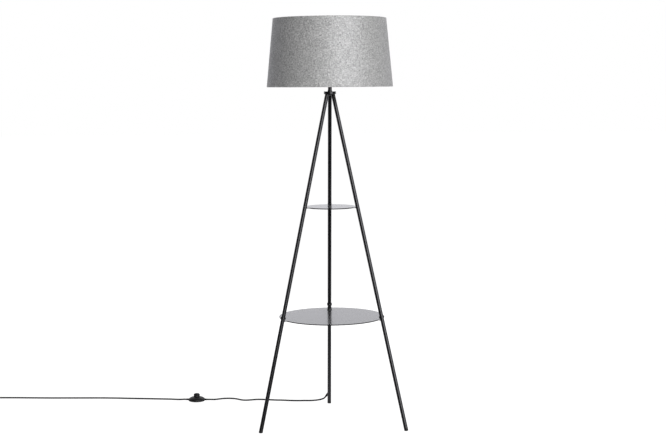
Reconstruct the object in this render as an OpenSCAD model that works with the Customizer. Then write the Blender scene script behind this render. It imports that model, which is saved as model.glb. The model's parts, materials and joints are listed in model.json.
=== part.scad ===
// Floor lamp: three splayed tube legs under a small hub, two round shelves between the legs,
// a tapered linen drum shade, and a mains cord with a foot switch.
// Millimetres, +Z up. The floor is z = 0 and the camera side of the lamp is -Y.

/* [Overall] */
// Height of the shade's top edge above the floor
total_h = 1550; // [1450:10:1700]
// Radius of the circle that the three leg axes meet on the floor
foot_circle_r = 317; // [280:1:340]
// Radius of the circle that the three leg axes meet on the hub's underside
hub_circle_r = 13; // [12.5:0.25:14]

/* [Shade] */
// Outside diameter of the shade at its top edge
shade_top_d = 428; // [380:2:460]
// Outside diameter of the shade at its bottom edge
shade_bottom_d = 478; // [440:2:520]
// Height of the shade
shade_h = 258; // [220:2:300]
// Thickness of the woven cover
fabric_t = 0.8; // [0.6:0.1:1.2]
// Thickness of the stiff liner that the cover is glued to
liner_t = 0.5; // [0.3:0.1:1]
// Wire diameter of the shade's rings and arms
shade_wire_d = 3.2; // [2.5:0.1:4]
// Height of the fitter washer above the shade's bottom edge
fitter_rise = 30; // [28:1:36]
// Outside diameter of the fitter washer
fitter_d = 54; // [52:1:60]
// Thickness of the fitter washer
fitter_t = 1.5; // [1:0.25:2]

/* [Legs] */
// Outside diameter of the leg tubes
leg_d = 15; // [14.6:0.2:15.4]
// Wall of the leg tubes
leg_wall = 1; // [0.8:0.1:1.2]
// Outside diameter of the ring where a leg's two tubes meet
coupler_d = 20.5; // [19.5:0.5:23]
// Height of that ring along the leg
coupler_h = 8.5; // [7:0.5:12]
// Height of the ring's underside above the lower shelf
coupler_rise = 7; // [5:1:20]
// Depth of the ring's socket for the upper tube
socket_depth = 4.5; // [4:0.5:5.5]
// Length of the spigot inside each tube
spigot_l = 22; // [15:1:40]
// Bore of the spigots, for the cord
spigot_bore = 7.4; // [7:0.2:8]
// Visible height of a foot cap along the leg
foot_h = 10; // [8:1:16]
// Length of the foot cap's plug inside the tube
foot_plug_l = 10; // [6:1:12]
// Edge radius of the foot cap
foot_round = 2.5; // [1:0.25:3]

/* [Shelves] */
// Diameter of the lower shelf
lower_shelf_d = 402; // [380:2:404]
// Height of the lower shelf's top above the floor
lower_shelf_z = 415.5; // [400:0.5:430]
// Diameter of the upper shelf
upper_shelf_d = 193; // [180:1:200]
// Height of the upper shelf's top above the floor
upper_shelf_z = 838; // [800:1:860]
// Sheet thickness of both shelves
shelf_t = 2; // [1.5:0.25:3]
// Height of the turned-down rim
shelf_rim_h = 3.5; // [3:0.25:8]
// Width of the tabs that reach from a shelf to the legs
tab_w = 16.5; // [15:0.5:20]

/* [Hub and neck] */
// Diameter of the hub
hub_d = 46.5; // [45.5:0.5:60]
// Height of the hub's body
hub_body_h = 8; // [7.5:0.25:12]
// Thickness of the hub's floor under the wire channel
hub_floor_t = 3; // [2.5:0.25:3.5]
// Thickness of the hub's lid
hub_lid_t = 2.5; // [2:0.25:4]
// Edge chamfer of the hub
hub_chamfer = 0.8; // [0.3:0.1:1]
// Depth that the leg tubes enter the hub, along the leg
leg_socket = 2; // [1.5:0.25:2.5]
// Neck that shows between the hub's lid and the shade's bottom edge
neck_gap = 17; // [12:1:30]
// Length of neck hidden inside the shade
neck_hidden = 6; // [5:0.5:8]
// Outside diameter of the neck tube
neck_d = 15; // [14.2:0.2:16]
// Wall of the neck tube
neck_wall = 1.2; // [1:0.1:1.4]
// Diameter of the collar at the neck's foot
collar_d = 17.5; // [17:0.5:20]
// Height of that collar
collar_h = 4; // [3:0.5:6]
// Diameter of the domed plug under the hub
hub_plug_d = 9.5; // [9:0.5:10]
// Height of the plug's dome
hub_plug_h = 6; // [5.5:0.5:8]
// Thread diameter of the plug
hub_plug_thread_d = 7.5; // [6:0.5:8]

/* [Lampholder and bulb] */
// Outside diameter of the threaded pipe that carries the lampholder
nipple_d = 10; // [9:0.5:10]
// Bore of that pipe
nipple_bore = 7.6; // [7:0.2:7.8]
// Height of the lampholder's lower cap
holder_cap_h = 22; // [18:1:24]
// Diameter of the lampholder's threaded skirt
holder_d = 39; // [38:0.5:41]
// Wall of the lampholder's shells
holder_wall = 2; // [1.5:0.1:2.5]
// Height of the lampholder's skirt
holder_skirt_h = 34; // [32:1:40]
// Height of the ring nut that clamps the fitter
ring_nut_h = 7; // [5:0.5:10]
// Outside diameter of the ring nut
ring_nut_d = 50; // [48:0.5:52]
// Diameter of the bulb's screw cap
bulb_cap_d = 26; // [25.5:0.1:26.4]
// Height of the bulb's screw cap
bulb_cap_h = 25; // [24:0.5:27]
// Height of the bulb's moulded base above the cap
bulb_base_h = 34; // [28:1:40]
// Diameter of the bulb's globe
bulb_globe_d = 60; // [55:1:66]

/* [Cord] */
// Diameter of the mains cord
cord_d = 6.2; // [5.8:0.1:6.4]
// Diameter of one insulated core
core_d = 2; // [1.8:0.1:2.1]
// Height above the floor where the cord leaves the rear leg
exit_z = 40; // [38:1:50]
// Angle between the leg and the cord where it leaves
exit_angle = 35; // [30:1:45]
// Length of the tapered relief outside the leg
relief_l = 20; // [20:1:24]
// Diameter of the relief at the leg
relief_d = 9; // [8.6:0.2:9.8]

/* [Foot switch] */
// Diameter of the switch housing
switch_d = 68; // [64:1:76]
// Height of the housing
switch_h = 16.5; // [15:0.5:20]
// Diameter of the flat top of the housing
switch_top_d = 35; // [34:1:50]
// Wall of the housing
switch_wall = 2; // [1.5:0.25:2.5]
// Thickness of the rubber pad under the switch
switch_pad_t = 1.5; // [1:0.25:2]
// Thickness of the switch's base plate
switch_base_t = 2.5; // [2:0.25:3]
// Diameter of the button
button_d = 25; // [20:0.5:26]
// Height of the button above the housing
button_rise = 15; // [8:0.5:16]
// Travel of the button
button_travel = 3; // [2:0.25:3.5]
// Height of the cord's axis where it enters the switch
gland_z = 5.5; // [5.5:0.25:6]
// Length of a gland outside the housing
gland_out = 10; // [8:1:14]

/* [Plug] */
// Length of the plug's body
plug_l = 35; // [30:1:40]
// Width of the plug's body at the pins
plug_w = 26; // [25:0.5:30]
// Thickness of the plug's body
plug_t = 13.8; // [13:0.2:15]
// Length of the plug's tapered relief
plug_relief_l = 24; // [20:1:30]
// Spacing of the two pins
pin_gap = 18.6; // [17.5:0.1:19]
// Diameter of the pins
pin_d = 4; // [3.8:0.1:4]
// Length of the pins outside the body
pin_l = 19; // [18:0.5:20]
// Length of the insulated part of the pins
pin_sleeve_l = 10; // [9:0.5:12]

/* [Hidden] */

$fn = 64;
// Radial clearance where one turned piece fits in another
fit = 0.05;
// Overshoot of a cut past the face that it opens
cut = 1;

// Colours as the photograph shows them
black_paint = [0.09, 0.09, 0.09];
black_plastic = [0.07, 0.07, 0.07];
linen = [0.66, 0.65, 0.63];
zinc = [0.72, 0.72, 0.7];
white_plastic = [0.93, 0.93, 0.91];

// Turn of each leg about the lamp's axis, seen from above
rear_turn = 90;
left_turn = 210;
right_turn = 330;
leg_turns = [rear_turn, left_turn, right_turn];

// Heights that stack down from the shade
shade_z = total_h - shade_h;
hub_top_z = shade_z - neck_gap;
lid_z = hub_top_z - hub_lid_t;
hub_z = lid_z - hub_body_h;
channel_z = hub_z + hub_floor_t;

// Lean of the legs, and the heights of their pieces along the leg
leg_tilt = atan((foot_circle_r - hub_circle_r) / hub_z);
function along(z) = z / cos(leg_tilt);
leg_r = leg_d / 2;
bore_r = leg_r - leg_wall;
leg_top = along(hub_z) + leg_socket;
ring_low = along(lower_shelf_z + coupler_rise);
ring_high = ring_low + coupler_h;
upper_foot = ring_high - socket_depth;

// A foot cap's end lies this far below the leg's foot before it is cut flat on the floor.
// The lamp's axis stands off the origin, so that the origin is the middle of the lamp's outline in plan
foot_drop = (leg_r - foot_round) * tan(leg_tilt) + 0.1;
foot_reach = foot_circle_r + (leg_r - foot_round) * cos(leg_tilt) - (foot_round - foot_drop) * sin(leg_tilt)
    + foot_round;
axis_y = (shade_bottom_d / 2 - foot_reach) / 2;

module on_axis() { translate([0, axis_y, 0]) children(); }

// Places what is drawn along +Z on a leg, with the leg's foot at the origin and +X outwards
module on_leg(turn) {
    on_axis() rotate([0, 0, turn]) translate([foot_circle_r, 0, 0]) rotate([0, -leg_tilt, 0]) children();
}

function leg_point(p, turn) =
    let (x = foot_circle_r + p[0] * cos(leg_tilt) - p[2] * sin(leg_tilt),
         z = p[0] * sin(leg_tilt) + p[2] * cos(leg_tilt))
    [x * cos(turn) - p[1] * sin(turn), axis_y + x * sin(turn) + p[1] * cos(turn), z];

module tube(r, bore, h) {
    difference() {
        cylinder(r = r, h = h);
        translate([0, 0, -cut]) cylinder(r = bore, h = h + 2 * cut);
    }
}

// A disc with both outer edges chamfered
module chamfered_disc(r, h, c) {
    rotate_extrude() polygon([[0, 0], [r - c, 0], [r, c], [r, h - c], [r - c, h], [0, h]]);
}

function unit(v) = v / norm(v);

// Direction of a route at each of its points
function heading(p, i) = unit(p[min(i + 1, len(p) - 1)] - p[max(i - 1, 0)]);

function ring_at(p, t, ref, r, sides) =
    let (a = unit(cross(t, ref)), b = cross(a, t))
    [for (k = [0:sides - 1]) p + r * (cos(360 * k / sides) * a + sin(360 * k / sides) * b)];

// One tube of radius r swept along a route
module sweep(route, r, sides, ref = [0, 0, 1]) {
    last = len(route) - 1;
    points = [for (i = [0:last]) each ring_at(route[i], heading(route, i), ref, r, sides)];
    walls = [for (i = [0:last - 1], k = [0:sides - 1])
        let (a = i * sides + k, b = i * sides + (k + 1) % sides)
        each [[a, b, a + sides], [b, b + sides, a + sides]]];
    start_cap = [for (k = [1:sides - 2]) [0, k + 1, k]];
    end_cap = [for (k = [1:sides - 2]) [last * sides, last * sides + k, last * sides + k + 1]];
    polyhedron(points = points, faces = concat(walls, start_cap, end_cap), convexity = 10);
}

function route_length(p, i = 1) = i < len(p) ? norm(p[i] - p[i - 1]) + route_length(p, i + 1) : 0;

// Shade
shade_top_r = shade_top_d / 2;
shade_bottom_r = shade_bottom_d / 2;
shade_lean = (shade_bottom_r - shade_top_r) / shade_h;
wire_r = shade_wire_d / 2;
// Outside radius of the shade at a height above its bottom edge
function shade_r(z) = shade_bottom_r - shade_lean * z;
// Radius of a wire ring that lies against the liner
function wire_ring_r(z) = shade_r(z) - fabric_t - liner_t - wire_r - 0.1;
flange_r = holder_d / 2 + 3.5;
// The arms run from under the fitter's rim, just clear of the lampholder's flange, to the bottom ring
arm_foot = [wire_ring_r(wire_r), shade_z + wire_r];
arm_head = [flange_r + 0.7, shade_z + fitter_rise - wire_r - 0.1];

module shade_skin(outside, t) {
    rotate_extrude($fn = 128) polygon([
        [shade_bottom_r - outside - t, shade_z], [shade_bottom_r - outside, shade_z],
        [shade_top_r - outside, total_h], [shade_top_r - outside - t, total_h]]);
}

module shade_fabric() { color(linen) on_axis() shade_skin(0, fabric_t); }

module shade_liner() { color(white_plastic) on_axis() shade_skin(fabric_t, liner_t); }

module wire_ring(z) {
    on_axis() translate([0, 0, shade_z + z])
        rotate_extrude($fn = 96) translate([wire_ring_r(z), 0]) circle(r = wire_r, $fn = 16);
}

module shade_top_ring() { color(white_plastic) wire_ring(shade_h - wire_r); }

module shade_bottom_ring() { color(white_plastic) wire_ring(wire_r); }

// Three straight wires rise from the bottom ring to the fitter, one over each leg
module shade_arms() {
    run = arm_foot[0] - arm_head[0];
    rise = arm_head[1] - arm_foot[1];
    color(white_plastic) on_axis() for (turn = leg_turns) rotate([0, 0, turn])
        translate([arm_head[0], 0, arm_head[1]]) rotate([0, 90 + atan(rise / run), 0])
            cylinder(r = wire_r, h = norm([run, rise]) - wire_r - 0.1);
}

fitter_z = shade_z + fitter_rise;
holder_r = holder_d / 2;

module shade_fitter() {
    color(white_plastic) on_axis() translate([0, 0, fitter_z])
        tube(fitter_d / 2, holder_r + 0.6, fitter_t);
}

// Lampholder, threaded for the fitter's ring nut and for the bulb
holder_z = shade_z + neck_hidden;
skirt_z = holder_z + holder_cap_h;
flange_t = fitter_z - skirt_z;
shell_r = bulb_cap_d / 2 + 0.6;
core_r = core_d / 2;
insert_h = 8;

module lampholder_cap() {
    shoulder = holder_cap_h * 0.6;
    throat = nipple_d / 2 + fit;
    color(black_plastic) on_axis() translate([0, 0, holder_z]) rotate_extrude() polygon([
        [throat, 0], [throat + 4, 0], [holder_r - 2, shoulder], [holder_r, shoulder + 3],
        [holder_r, holder_cap_h], [holder_r - holder_wall, holder_cap_h],
        [holder_r - holder_wall, shoulder + 4], [throat + 4, holder_wall + 2], [throat, holder_wall + 2]]);
}

module lampholder_body() {
    color(black_plastic) on_axis() translate([0, 0, skirt_z]) difference() {
        union() {
            cylinder(r = holder_r, h = holder_skirt_h);
            cylinder(r = flange_r, h = flange_t);
        }
        translate([0, 0, -cut]) cylinder(r = holder_r - holder_wall - 2, h = holder_skirt_h + 2 * cut);
    }
}

module lampholder_ring() {
    color(black_plastic) on_axis() translate([0, 0, fitter_z + fitter_t])
        tube(ring_nut_d / 2, holder_r + fit, ring_nut_h);
}

module lampholder_insert() {
    color(white_plastic) on_axis() translate([0, 0, skirt_z])
        cylinder(r = holder_r - holder_wall - 2 - fit, h = insert_h);
}

// Two blocks under the insert that the cores enter from below
terminal_x = 5;
terminal_h = 5;
module terminals() {
    color([0.8, 0.68, 0.36]) on_axis() for (side = [-1, 1]) translate([side * terminal_x, 0, skirt_z - terminal_h])
        difference() {
            translate([-3, -4, 0]) cube([6, 8, terminal_h]);
            translate([0, 0, -cut]) cylinder(r = core_r + fit, h = 3 + cut);
        }
}

module screw_shell() {
    color([0.8, 0.68, 0.36]) on_axis() translate([0, 0, skirt_z + insert_h]) {
        tube(shell_r + 0.5, shell_r, holder_skirt_h - insert_h - 3);
        cylinder(r = 4, h = 1.2);
    }
}

bulb_z = skirt_z + insert_h + 1.5;
base_z = bulb_z + bulb_cap_h;
globe_z = base_z + bulb_base_h;
base_r = bulb_globe_d / 2 * 0.9;
globe_sink = sqrt(pow(bulb_globe_d / 2, 2) - pow(base_r, 2));

module bulb_cap() {
    r = bulb_cap_d / 2;
    color(zinc) on_axis() translate([0, 0, bulb_z]) rotate_extrude()
        polygon([[0, 0], [4.5, 0], [4.5, 1.5], [r - 2, 3.5], [r, 6], [r, bulb_cap_h], [0, bulb_cap_h]]);
}

module bulb_base() {
    r = bulb_cap_d / 2;
    color(white_plastic) on_axis() translate([0, 0, base_z]) rotate_extrude() polygon([
        [0, 0], [r + 0.4, 0], [r + 2, bulb_base_h * 0.35], [base_r - 1.5, bulb_base_h * 0.85],
        [base_r, bulb_base_h], [0, bulb_base_h]]);
}

module bulb_globe() {
    color([0.97, 0.97, 0.95]) on_axis() intersection() {
        translate([0, 0, globe_z + globe_sink]) sphere(d = bulb_globe_d);
        translate([0, 0, globe_z]) cylinder(d = bulb_globe_d + 2, h = bulb_globe_d + globe_sink);
    }
}

// Neck and hub
neck_r = neck_d / 2;
neck_bore_r = neck_r - neck_wall;
nipple_foot = shade_z - 4;

module neck_tube() {
    color(black_paint) on_axis() translate([0, 0, lid_z]) tube(neck_r, neck_bore_r, holder_z - lid_z);
}

module neck_collar() {
    c = 0.5;
    r = collar_d / 2;
    color(black_paint) on_axis() translate([0, 0, hub_top_z]) rotate_extrude() polygon([
        [neck_r + fit, 0], [r, 0], [r, collar_h - c], [r - c, collar_h], [neck_r + fit, collar_h]]);
}

// The pipe is held in the neck by a bush, and screws into the lampholder's cap
module neck_nipple() {
    color(zinc) on_axis() difference() {
        union() {
            translate([0, 0, nipple_foot]) cylinder(d = nipple_d, h = holder_z + holder_wall + 4 - nipple_foot);
            translate([0, 0, nipple_foot]) cylinder(r = neck_bore_r - fit, h = 6);
        }
        translate([0, 0, nipple_foot - cut]) cylinder(d = nipple_bore, h = holder_cap_h + neck_hidden + 6);
    }
}

screw_circle_r = hub_d / 2 - 6.5;

module hub_screw_places() {
    on_axis() for (turn = leg_turns) rotate([0, 0, turn + 60]) translate([screw_circle_r, 0, 0]) children();
}

module hub_lid() {
    r = hub_d / 2;
    color(black_paint) difference() {
        on_axis() translate([0, 0, lid_z]) rotate_extrude()
            polygon([[neck_r + fit, 0], [r, 0], [r, hub_lid_t - hub_chamfer], [r - hub_chamfer, hub_lid_t],
                [neck_r + fit, hub_lid_t]]);
        hub_screw_places() {
            translate([0, 0, lid_z - cut]) cylinder(r = 1.6, h = hub_lid_t + 2 * cut);
            translate([0, 0, hub_top_z - 1.4]) cylinder(r1 = 1.6, r2 = 3, h = 1.4);
        }
    }
}

module hub_screws() {
    color(black_paint) hub_screw_places() {
        translate([0, 0, lid_z - 4]) cylinder(r = 1.5, h = hub_lid_t + 4 - 1.4);
        translate([0, 0, hub_top_z - 1.4]) cylinder(r1 = 1.5, r2 = 2.9, h = 1.4);
    }
}

// The stud on top of a leg
stud_r = 4;
stud_l = hub_body_h * 0.55;
stud_plug_l = 16;
stud_bore_r = 3.4;
channel_w = 2 * stud_r + 1;

module hub_body() {
    r = hub_d / 2;
    color(black_paint) difference() {
        on_axis() translate([0, 0, hub_z]) rotate_extrude()
            polygon([[0, 0], [r - hub_chamfer, 0], [r, hub_chamfer], [r, hub_body_h], [0, hub_body_h]]);
        for (turn = leg_turns) on_leg(turn) {
            translate([0, 0, leg_top - 20]) cylinder(r = leg_r + fit, h = 20);
            translate([0, 0, leg_top - cut]) cylinder(r = stud_r + fit, h = stud_l + cut);
        }
        on_axis() {
            translate([0, 0, hub_z - cut]) cylinder(d = hub_plug_thread_d + 2 * fit, h = hub_body_h + 2 * cut);
            translate([0, 0, channel_z]) cylinder(r = neck_bore_r, h = hub_body_h);
            translate([-channel_w / 2, 0, channel_z]) cube([channel_w, hub_circle_r + 3, hub_body_h]);
        }
        hub_screw_places() translate([0, 0, lid_z - 5]) cylinder(r = 1.5 + fit, h = 6);
    }
}

module hub_plug() {
    r = hub_plug_d / 2;
    color(black_paint) on_axis() {
        intersection() {
            translate([0, 0, hub_z - hub_plug_h + r]) sphere(r = r);
            translate([0, 0, hub_z - hub_plug_h - cut]) cylinder(r = r, h = r + cut);
        }
        translate([0, 0, hub_z - hub_plug_h + r]) cylinder(r = r, h = hub_plug_h - r);
        translate([0, 0, hub_z]) cylinder(d = hub_plug_thread_d, h = hub_floor_t);
    }
}

// Plugs pressed in the tops of the upper tubes, threaded for the hub; the rear one is open for the wires
module leg_studs() {
    color(zinc) for (turn = leg_turns) on_leg(turn) difference() {
        union() {
            translate([0, 0, leg_top - stud_plug_l]) cylinder(r = bore_r - fit, h = stud_plug_l);
            translate([0, 0, leg_top]) cylinder(r = stud_r, h = stud_l - 0.3);
        }
        translate([0, 0, leg_top - stud_plug_l - cut]) cylinder(r = stud_bore_r, h = stud_plug_l + stud_l + 2 * cut);
        if (turn == rear_turn)
            translate([-stud_r - cut, -stud_bore_r, leg_top]) cube([stud_r + cut, 2 * stud_bore_r, stud_l]);
    }
}

// Legs
module leg_tube(turn, low, high) {
    color(black_paint) on_leg(turn) translate([0, 0, low]) tube(leg_r, bore_r, high - low);
}

module leg_upper_rear() { leg_tube(rear_turn, upper_foot, leg_top); }
module leg_upper_left() { leg_tube(left_turn, upper_foot, leg_top); }
module leg_upper_right() { leg_tube(right_turn, upper_foot, leg_top); }

module leg_lower_left() { leg_tube(left_turn, foot_h, ring_low); }
module leg_lower_right() { leg_tube(right_turn, foot_h, ring_low); }

// A turned ring with a spigot each way: pressed in the lower tube, and a socket for the upper one
module coupler(turn) {
    c = 0.6;
    r = coupler_d / 2;
    color(black_paint) on_leg(turn) difference() {
        union() {
            translate([0, 0, ring_low]) chamfered_disc(r, coupler_h, c);
            translate([0, 0, ring_low - spigot_l]) cylinder(r = bore_r - fit, h = coupler_h + 2 * spigot_l);
        }
        translate([0, 0, upper_foot]) difference() {
            cylinder(r = leg_r + fit, h = socket_depth + cut);
            translate([0, 0, -cut]) cylinder(r = bore_r - fit, h = socket_depth + 3 * cut);
        }
        translate([0, 0, ring_low - spigot_l - cut]) cylinder(d = spigot_bore, h = coupler_h + 2 * spigot_l + 2 * cut);
        grub_place() cylinder(r = 1.5 + fit, h = r);
    }
}

// Radial place of the grub screw, on the side that faces the lamp's axis
module grub_place() {
    translate([0, 0, upper_foot + socket_depth / 2]) rotate([0, -90, 0]) translate([0, 0, leg_r + fit]) children();
}

module coupler_rear() { coupler(rear_turn); }
module coupler_left() { coupler(left_turn); }
module coupler_right() { coupler(right_turn); }

module coupler_screws() {
    color(zinc) for (turn = leg_turns) on_leg(turn) grub_place() cylinder(r = 1.5, h = coupler_d / 2 - leg_r - 0.4);
}

// A cap with a round edge, cut flat where it stands on the floor
module foot(turn) {
    low = -foot_drop;
    color(black_plastic) intersection() {
        on_leg(turn) {
            translate([0, 0, low + foot_round]) cylinder(r = leg_r, h = foot_h - low - foot_round);
            translate([0, 0, low]) rotate_extrude() union() {
                square([leg_r - foot_round, foot_round]);
                translate([leg_r - foot_round, foot_round]) intersection() {
                    circle(r = foot_round);
                    translate([0, -foot_round]) square([foot_round, foot_round]);
                }
            }
            translate([0, 0, foot_h]) cylinder(r = bore_r - fit, h = foot_plug_l);
        }
        translate([-total_h, -total_h, 0]) cube([2 * total_h, 2 * total_h, foot_h + foot_plug_l + leg_d]);
    }
}

module foot_rear() { foot(rear_turn); }
module foot_left() { foot(left_turn); }
module foot_right() { foot(right_turn); }

// Shelves: a flat disc with a turned-down rim, and a tab welded to each leg a little below the disc's top
tab_drop = 0.3;
function leg_axis_r(z) = foot_circle_r - z * tan(leg_tilt);

module shelf(d, z) {
    r = d / 2;
    color(black_paint) difference() {
        on_axis() translate([0, 0, z]) {
            rotate_extrude($fn = 128) polygon([[0, 0], [r - 0.3, 0], [r, -0.3], [r, -shelf_rim_h],
                [r - shelf_t, -shelf_rim_h], [r - shelf_t, -shelf_t], [0, -shelf_t]]);
            for (turn = leg_turns) rotate([0, 0, turn]) translate([r - tab_w, -tab_w / 2, -shelf_t])
                cube([leg_axis_r(z) - r + tab_w, tab_w, shelf_t - tab_drop]);
        }
        for (turn = leg_turns) on_leg(turn) translate([0, 0, along(z) - 2 * leg_d]) {
            cylinder(r = leg_r + fit, h = 4 * leg_d);
            translate([-leg_r / 3, -tab_w, 0]) cube([2 * tab_w, 2 * tab_w, 4 * leg_d]);
        }
    }
}

module shelf_upper() { shelf(upper_shelf_d, upper_shelf_z); }
module shelf_lower() { shelf(lower_shelf_d, lower_shelf_z); }

// Cord inside the rear leg: along the axis, then to the near wall and out through the far one
cord_r = cord_d / 2;
bend_r = 4 * cord_d;
exit_dir = [sin(exit_angle) / sqrt(2), sin(exit_angle) / sqrt(2), -cos(exit_angle)];
exit_s = exit_z / cos(leg_tilt);
// Sideways distance of the cord from the leg's axis, against the side where it leaves
sway = bore_r - cord_r - 0.2;
bend_side = bend_r * (1 - cos(exit_angle));
bend_end_s = exit_s + (leg_r + sway - bend_side) / tan(exit_angle);
bend_start_s = bend_end_s + bend_r * sin(exit_angle);
sheath_top = leg_top - 5;
function sideways(d, s) = [d / sqrt(2), d / sqrt(2), s];

inner_route = [for (p = concat(
    [for (s = [sheath_top, leg_top - stud_plug_l, ring_high + spigot_l, (ring_low + ring_high) / 2,
        ring_low - spigot_l, bend_start_s + 100]) sideways(0, s)],
    [sideways(-sway * 0.6, bend_start_s + 50), sideways(-sway, bend_start_s + 12)],
    [for (a = [0:exit_angle / 4:exit_angle]) sideways(bend_r * (1 - cos(a)) - sway, bend_start_s - bend_r * sin(a))],
    [sideways(leg_r, exit_s)])) leg_point(p, rear_turn)];

module inner_cord() { color(black_plastic) sweep(inner_route, cord_r, 12, [1, 0, 0]); }

// The rear lower tube has an oblique hole for the cord
module exit_line() {
    on_leg(rear_turn) translate(sideways(leg_r, exit_s)) rotate([0, 0, 45]) rotate([0, 180 - exit_angle, 0])
        children();
}

module leg_lower_rear() {
    difference() {
        leg_tube(rear_turn, foot_h, ring_low);
        color(black_paint) exit_line() translate([0, 0, -relief_root]) cylinder(d = relief_d + 2 * fit, h = leg_d);
    }
}

// How far the relief reaches back into the tube's wall
relief_root = 6.5;
relief_tip_d = cord_d + 1;

module cord_relief() {
    color(black_plastic) exit_line() difference() {
        union() {
            translate([0, 0, -relief_root]) cylinder(d = relief_d, h = relief_root);
            cylinder(d1 = relief_d, d2 = relief_tip_d, h = relief_l);
        }
        translate([0, 0, -relief_root - cut]) cylinder(r = cord_r + fit, h = relief_root + relief_l + 2 * cut);
    }
}

// The two cores leave the sheath in the rear stud, cross the hub's channel and rise in the neck
core_bend_r = 4 * core_d;
core_turn = 60;
core_start = leg_point([0, 0, sheath_top], rear_turn);
core_low_z = core_start[2] + 1.2;
core_low_r = leg_axis_r(core_low_z);
arc_run = core_bend_r * (cos(leg_tilt) + 1 - 2 * cos(core_turn));
arc_straight = (core_low_r - arc_run) / sin(core_turn);
arc_high_r = core_low_r - core_bend_r * (cos(leg_tilt) - cos(core_turn)) - arc_straight * sin(core_turn);
arc_high_z = core_low_z + core_bend_r * (sin(core_turn) - sin(leg_tilt)) + arc_straight * cos(core_turn);
spread_low_z = skirt_z - terminal_h - 11.5;
spread_high_z = skirt_z - terminal_h - 0.5;
core_side = core_r + 0.08;
// Points of one core: distance from the pair's middle, distance from the lamp's axis, height
core_points = concat(
    [[core_side, leg_axis_r(core_start[2]), core_start[2]]],
    [for (k = [0:4]) let (a = leg_tilt + (core_turn - leg_tilt) * k / 4) [core_side,
        core_low_r - core_bend_r * (cos(leg_tilt) - cos(a)), core_low_z + core_bend_r * (sin(a) - sin(leg_tilt))]],
    [for (k = [0:4]) let (a = core_turn * (1 - k / 4)) [core_side,
        arc_high_r - core_bend_r * (cos(a) - cos(core_turn)), arc_high_z + core_bend_r * (sin(core_turn) - sin(a))]],
    [for (k = [0:6]) [core_side + (terminal_x - core_side) * (1 - cos(30 * k)) / 2, 0,
        spread_low_z + (spread_high_z - spread_low_z) * k / 6]],
    [[terminal_x, 0, skirt_z - terminal_h + 2.8]]);

module core_wires() {
    for (side = [-1, 1]) color(side < 0 ? [0.1, 0.3, 0.7] : [0.45, 0.3, 0.15])
        sweep([for (p = core_points) [side * p[0], axis_y + p[1], p[2]]], core_r, 8, [0, 1, 0.01]);
}

// Foot switch
switch_place = [-546.5, 353, 0];
// The switch lies turned by this, in line with the cord
switch_turn = -5.2;
switch_r = switch_d / 2;
switch_floor_z = switch_pad_t + switch_base_t;
ceiling_z = switch_h - switch_wall;
button_r = button_d / 2;
button_gap = 0.3;
button_top_z = switch_h + button_rise;
button_low_z = ceiling_z - 4.5;
// The button's underside is hollow round a post, and the spring stands in the hollow
hollow_r = button_r - 4.8;
hollow_top_z = button_low_z + 12;
post_r = 2.4;
post_low_z = button_low_z + 3;
block_top_z = button_low_z - button_travel - 0.5;
pedestal_z = post_low_z - button_travel - 1;
gland_r = cord_r + 0.7;
gland_root = 10;
// The sheath ends this far inside the housing's wall
sheath_in = 14;

module on_switch() { translate(switch_place) rotate([0, 0, switch_turn]) children(); }

// A point on the cord's line through the switch, at a distance from its middle
function on_cord_line(r) = switch_place + [r * cos(switch_turn), r * sin(switch_turn), gland_z];

module switch_pad() {
    color([0.12, 0.12, 0.12]) on_switch() tube(switch_r - 3, switch_r - 12, switch_pad_t);
}

module switch_screw_places() {
    on_switch() for (turn = [90, 270]) rotate([0, 0, turn]) translate([switch_r - 15, 0, 0]) children();
}

module switch_base() {
    color(black_plastic) difference() {
        on_switch() translate([0, 0, switch_pad_t]) cylinder(r = switch_r - switch_wall - 0.1, h = switch_base_t);
        switch_screw_places() translate([0, 0, switch_pad_t - cut]) cylinder(r = 1.6, h = switch_base_t + 2 * cut);
        gland_places() translate([0, 0, gland_root - sheath_in - cut])
            cylinder(r = gland_r + fit, h = sheath_in + 2 * cut);
    }
}

// A low cone of even wall with soft edges, open below, with a hole for the button
module switch_cover() {
    skirt_z = 7;
    flat_r = switch_top_d / 2;
    rise = switch_h - skirt_z;
    slope = switch_r - flat_r;
    // 1 makes the side a quarter of an ellipse, 2 a straight line
    bulge = 1.35;
    color(black_plastic) difference() {
        union() {
            on_switch() rotate_extrude() polygon(concat(
                [[switch_r - switch_wall, switch_pad_t], [switch_r, switch_pad_t]],
                [for (a = [0:10:90]) [flat_r + slope * pow(cos(a), bulge), skirt_z + rise * pow(sin(a), bulge)]],
                [[button_r + button_gap, switch_h], [button_r + button_gap, ceiling_z]],
                [for (a = [90:-10:0]) [flat_r + (slope - switch_wall) * pow(cos(a), bulge),
                    skirt_z + (rise - switch_wall) * pow(sin(a), bulge)]]));
            switch_screw_places() translate([0, 0, switch_floor_z]) cylinder(r = 3.2, h = ceiling_z - switch_floor_z + 0.5);
        }
        switch_screw_places() translate([0, 0, switch_floor_z - cut]) cylinder(r = 1.25, h = 7 + cut);
        gland_places() translate([0, 0, gland_root - switch_wall - 3]) cylinder(r = gland_r + fit, h = 2 * switch_wall + 4);
    }
}

module switch_screws() {
    color(zinc) switch_screw_places() {
        translate([0, 0, switch_pad_t - 1.2]) cylinder(r = 2.6, h = 1.2);
        translate([0, 0, switch_pad_t]) cylinder(r = 1.2, h = switch_base_t + 6);
    }
}

// Both glands lie along the cord's line through the switch, rooted inside the wall
module gland_places() {
    on_switch() for (side = [-1, 1]) translate([side * (switch_r - gland_root), 0, gland_z])
        rotate([0, side * 90, 0]) children();
}

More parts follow.
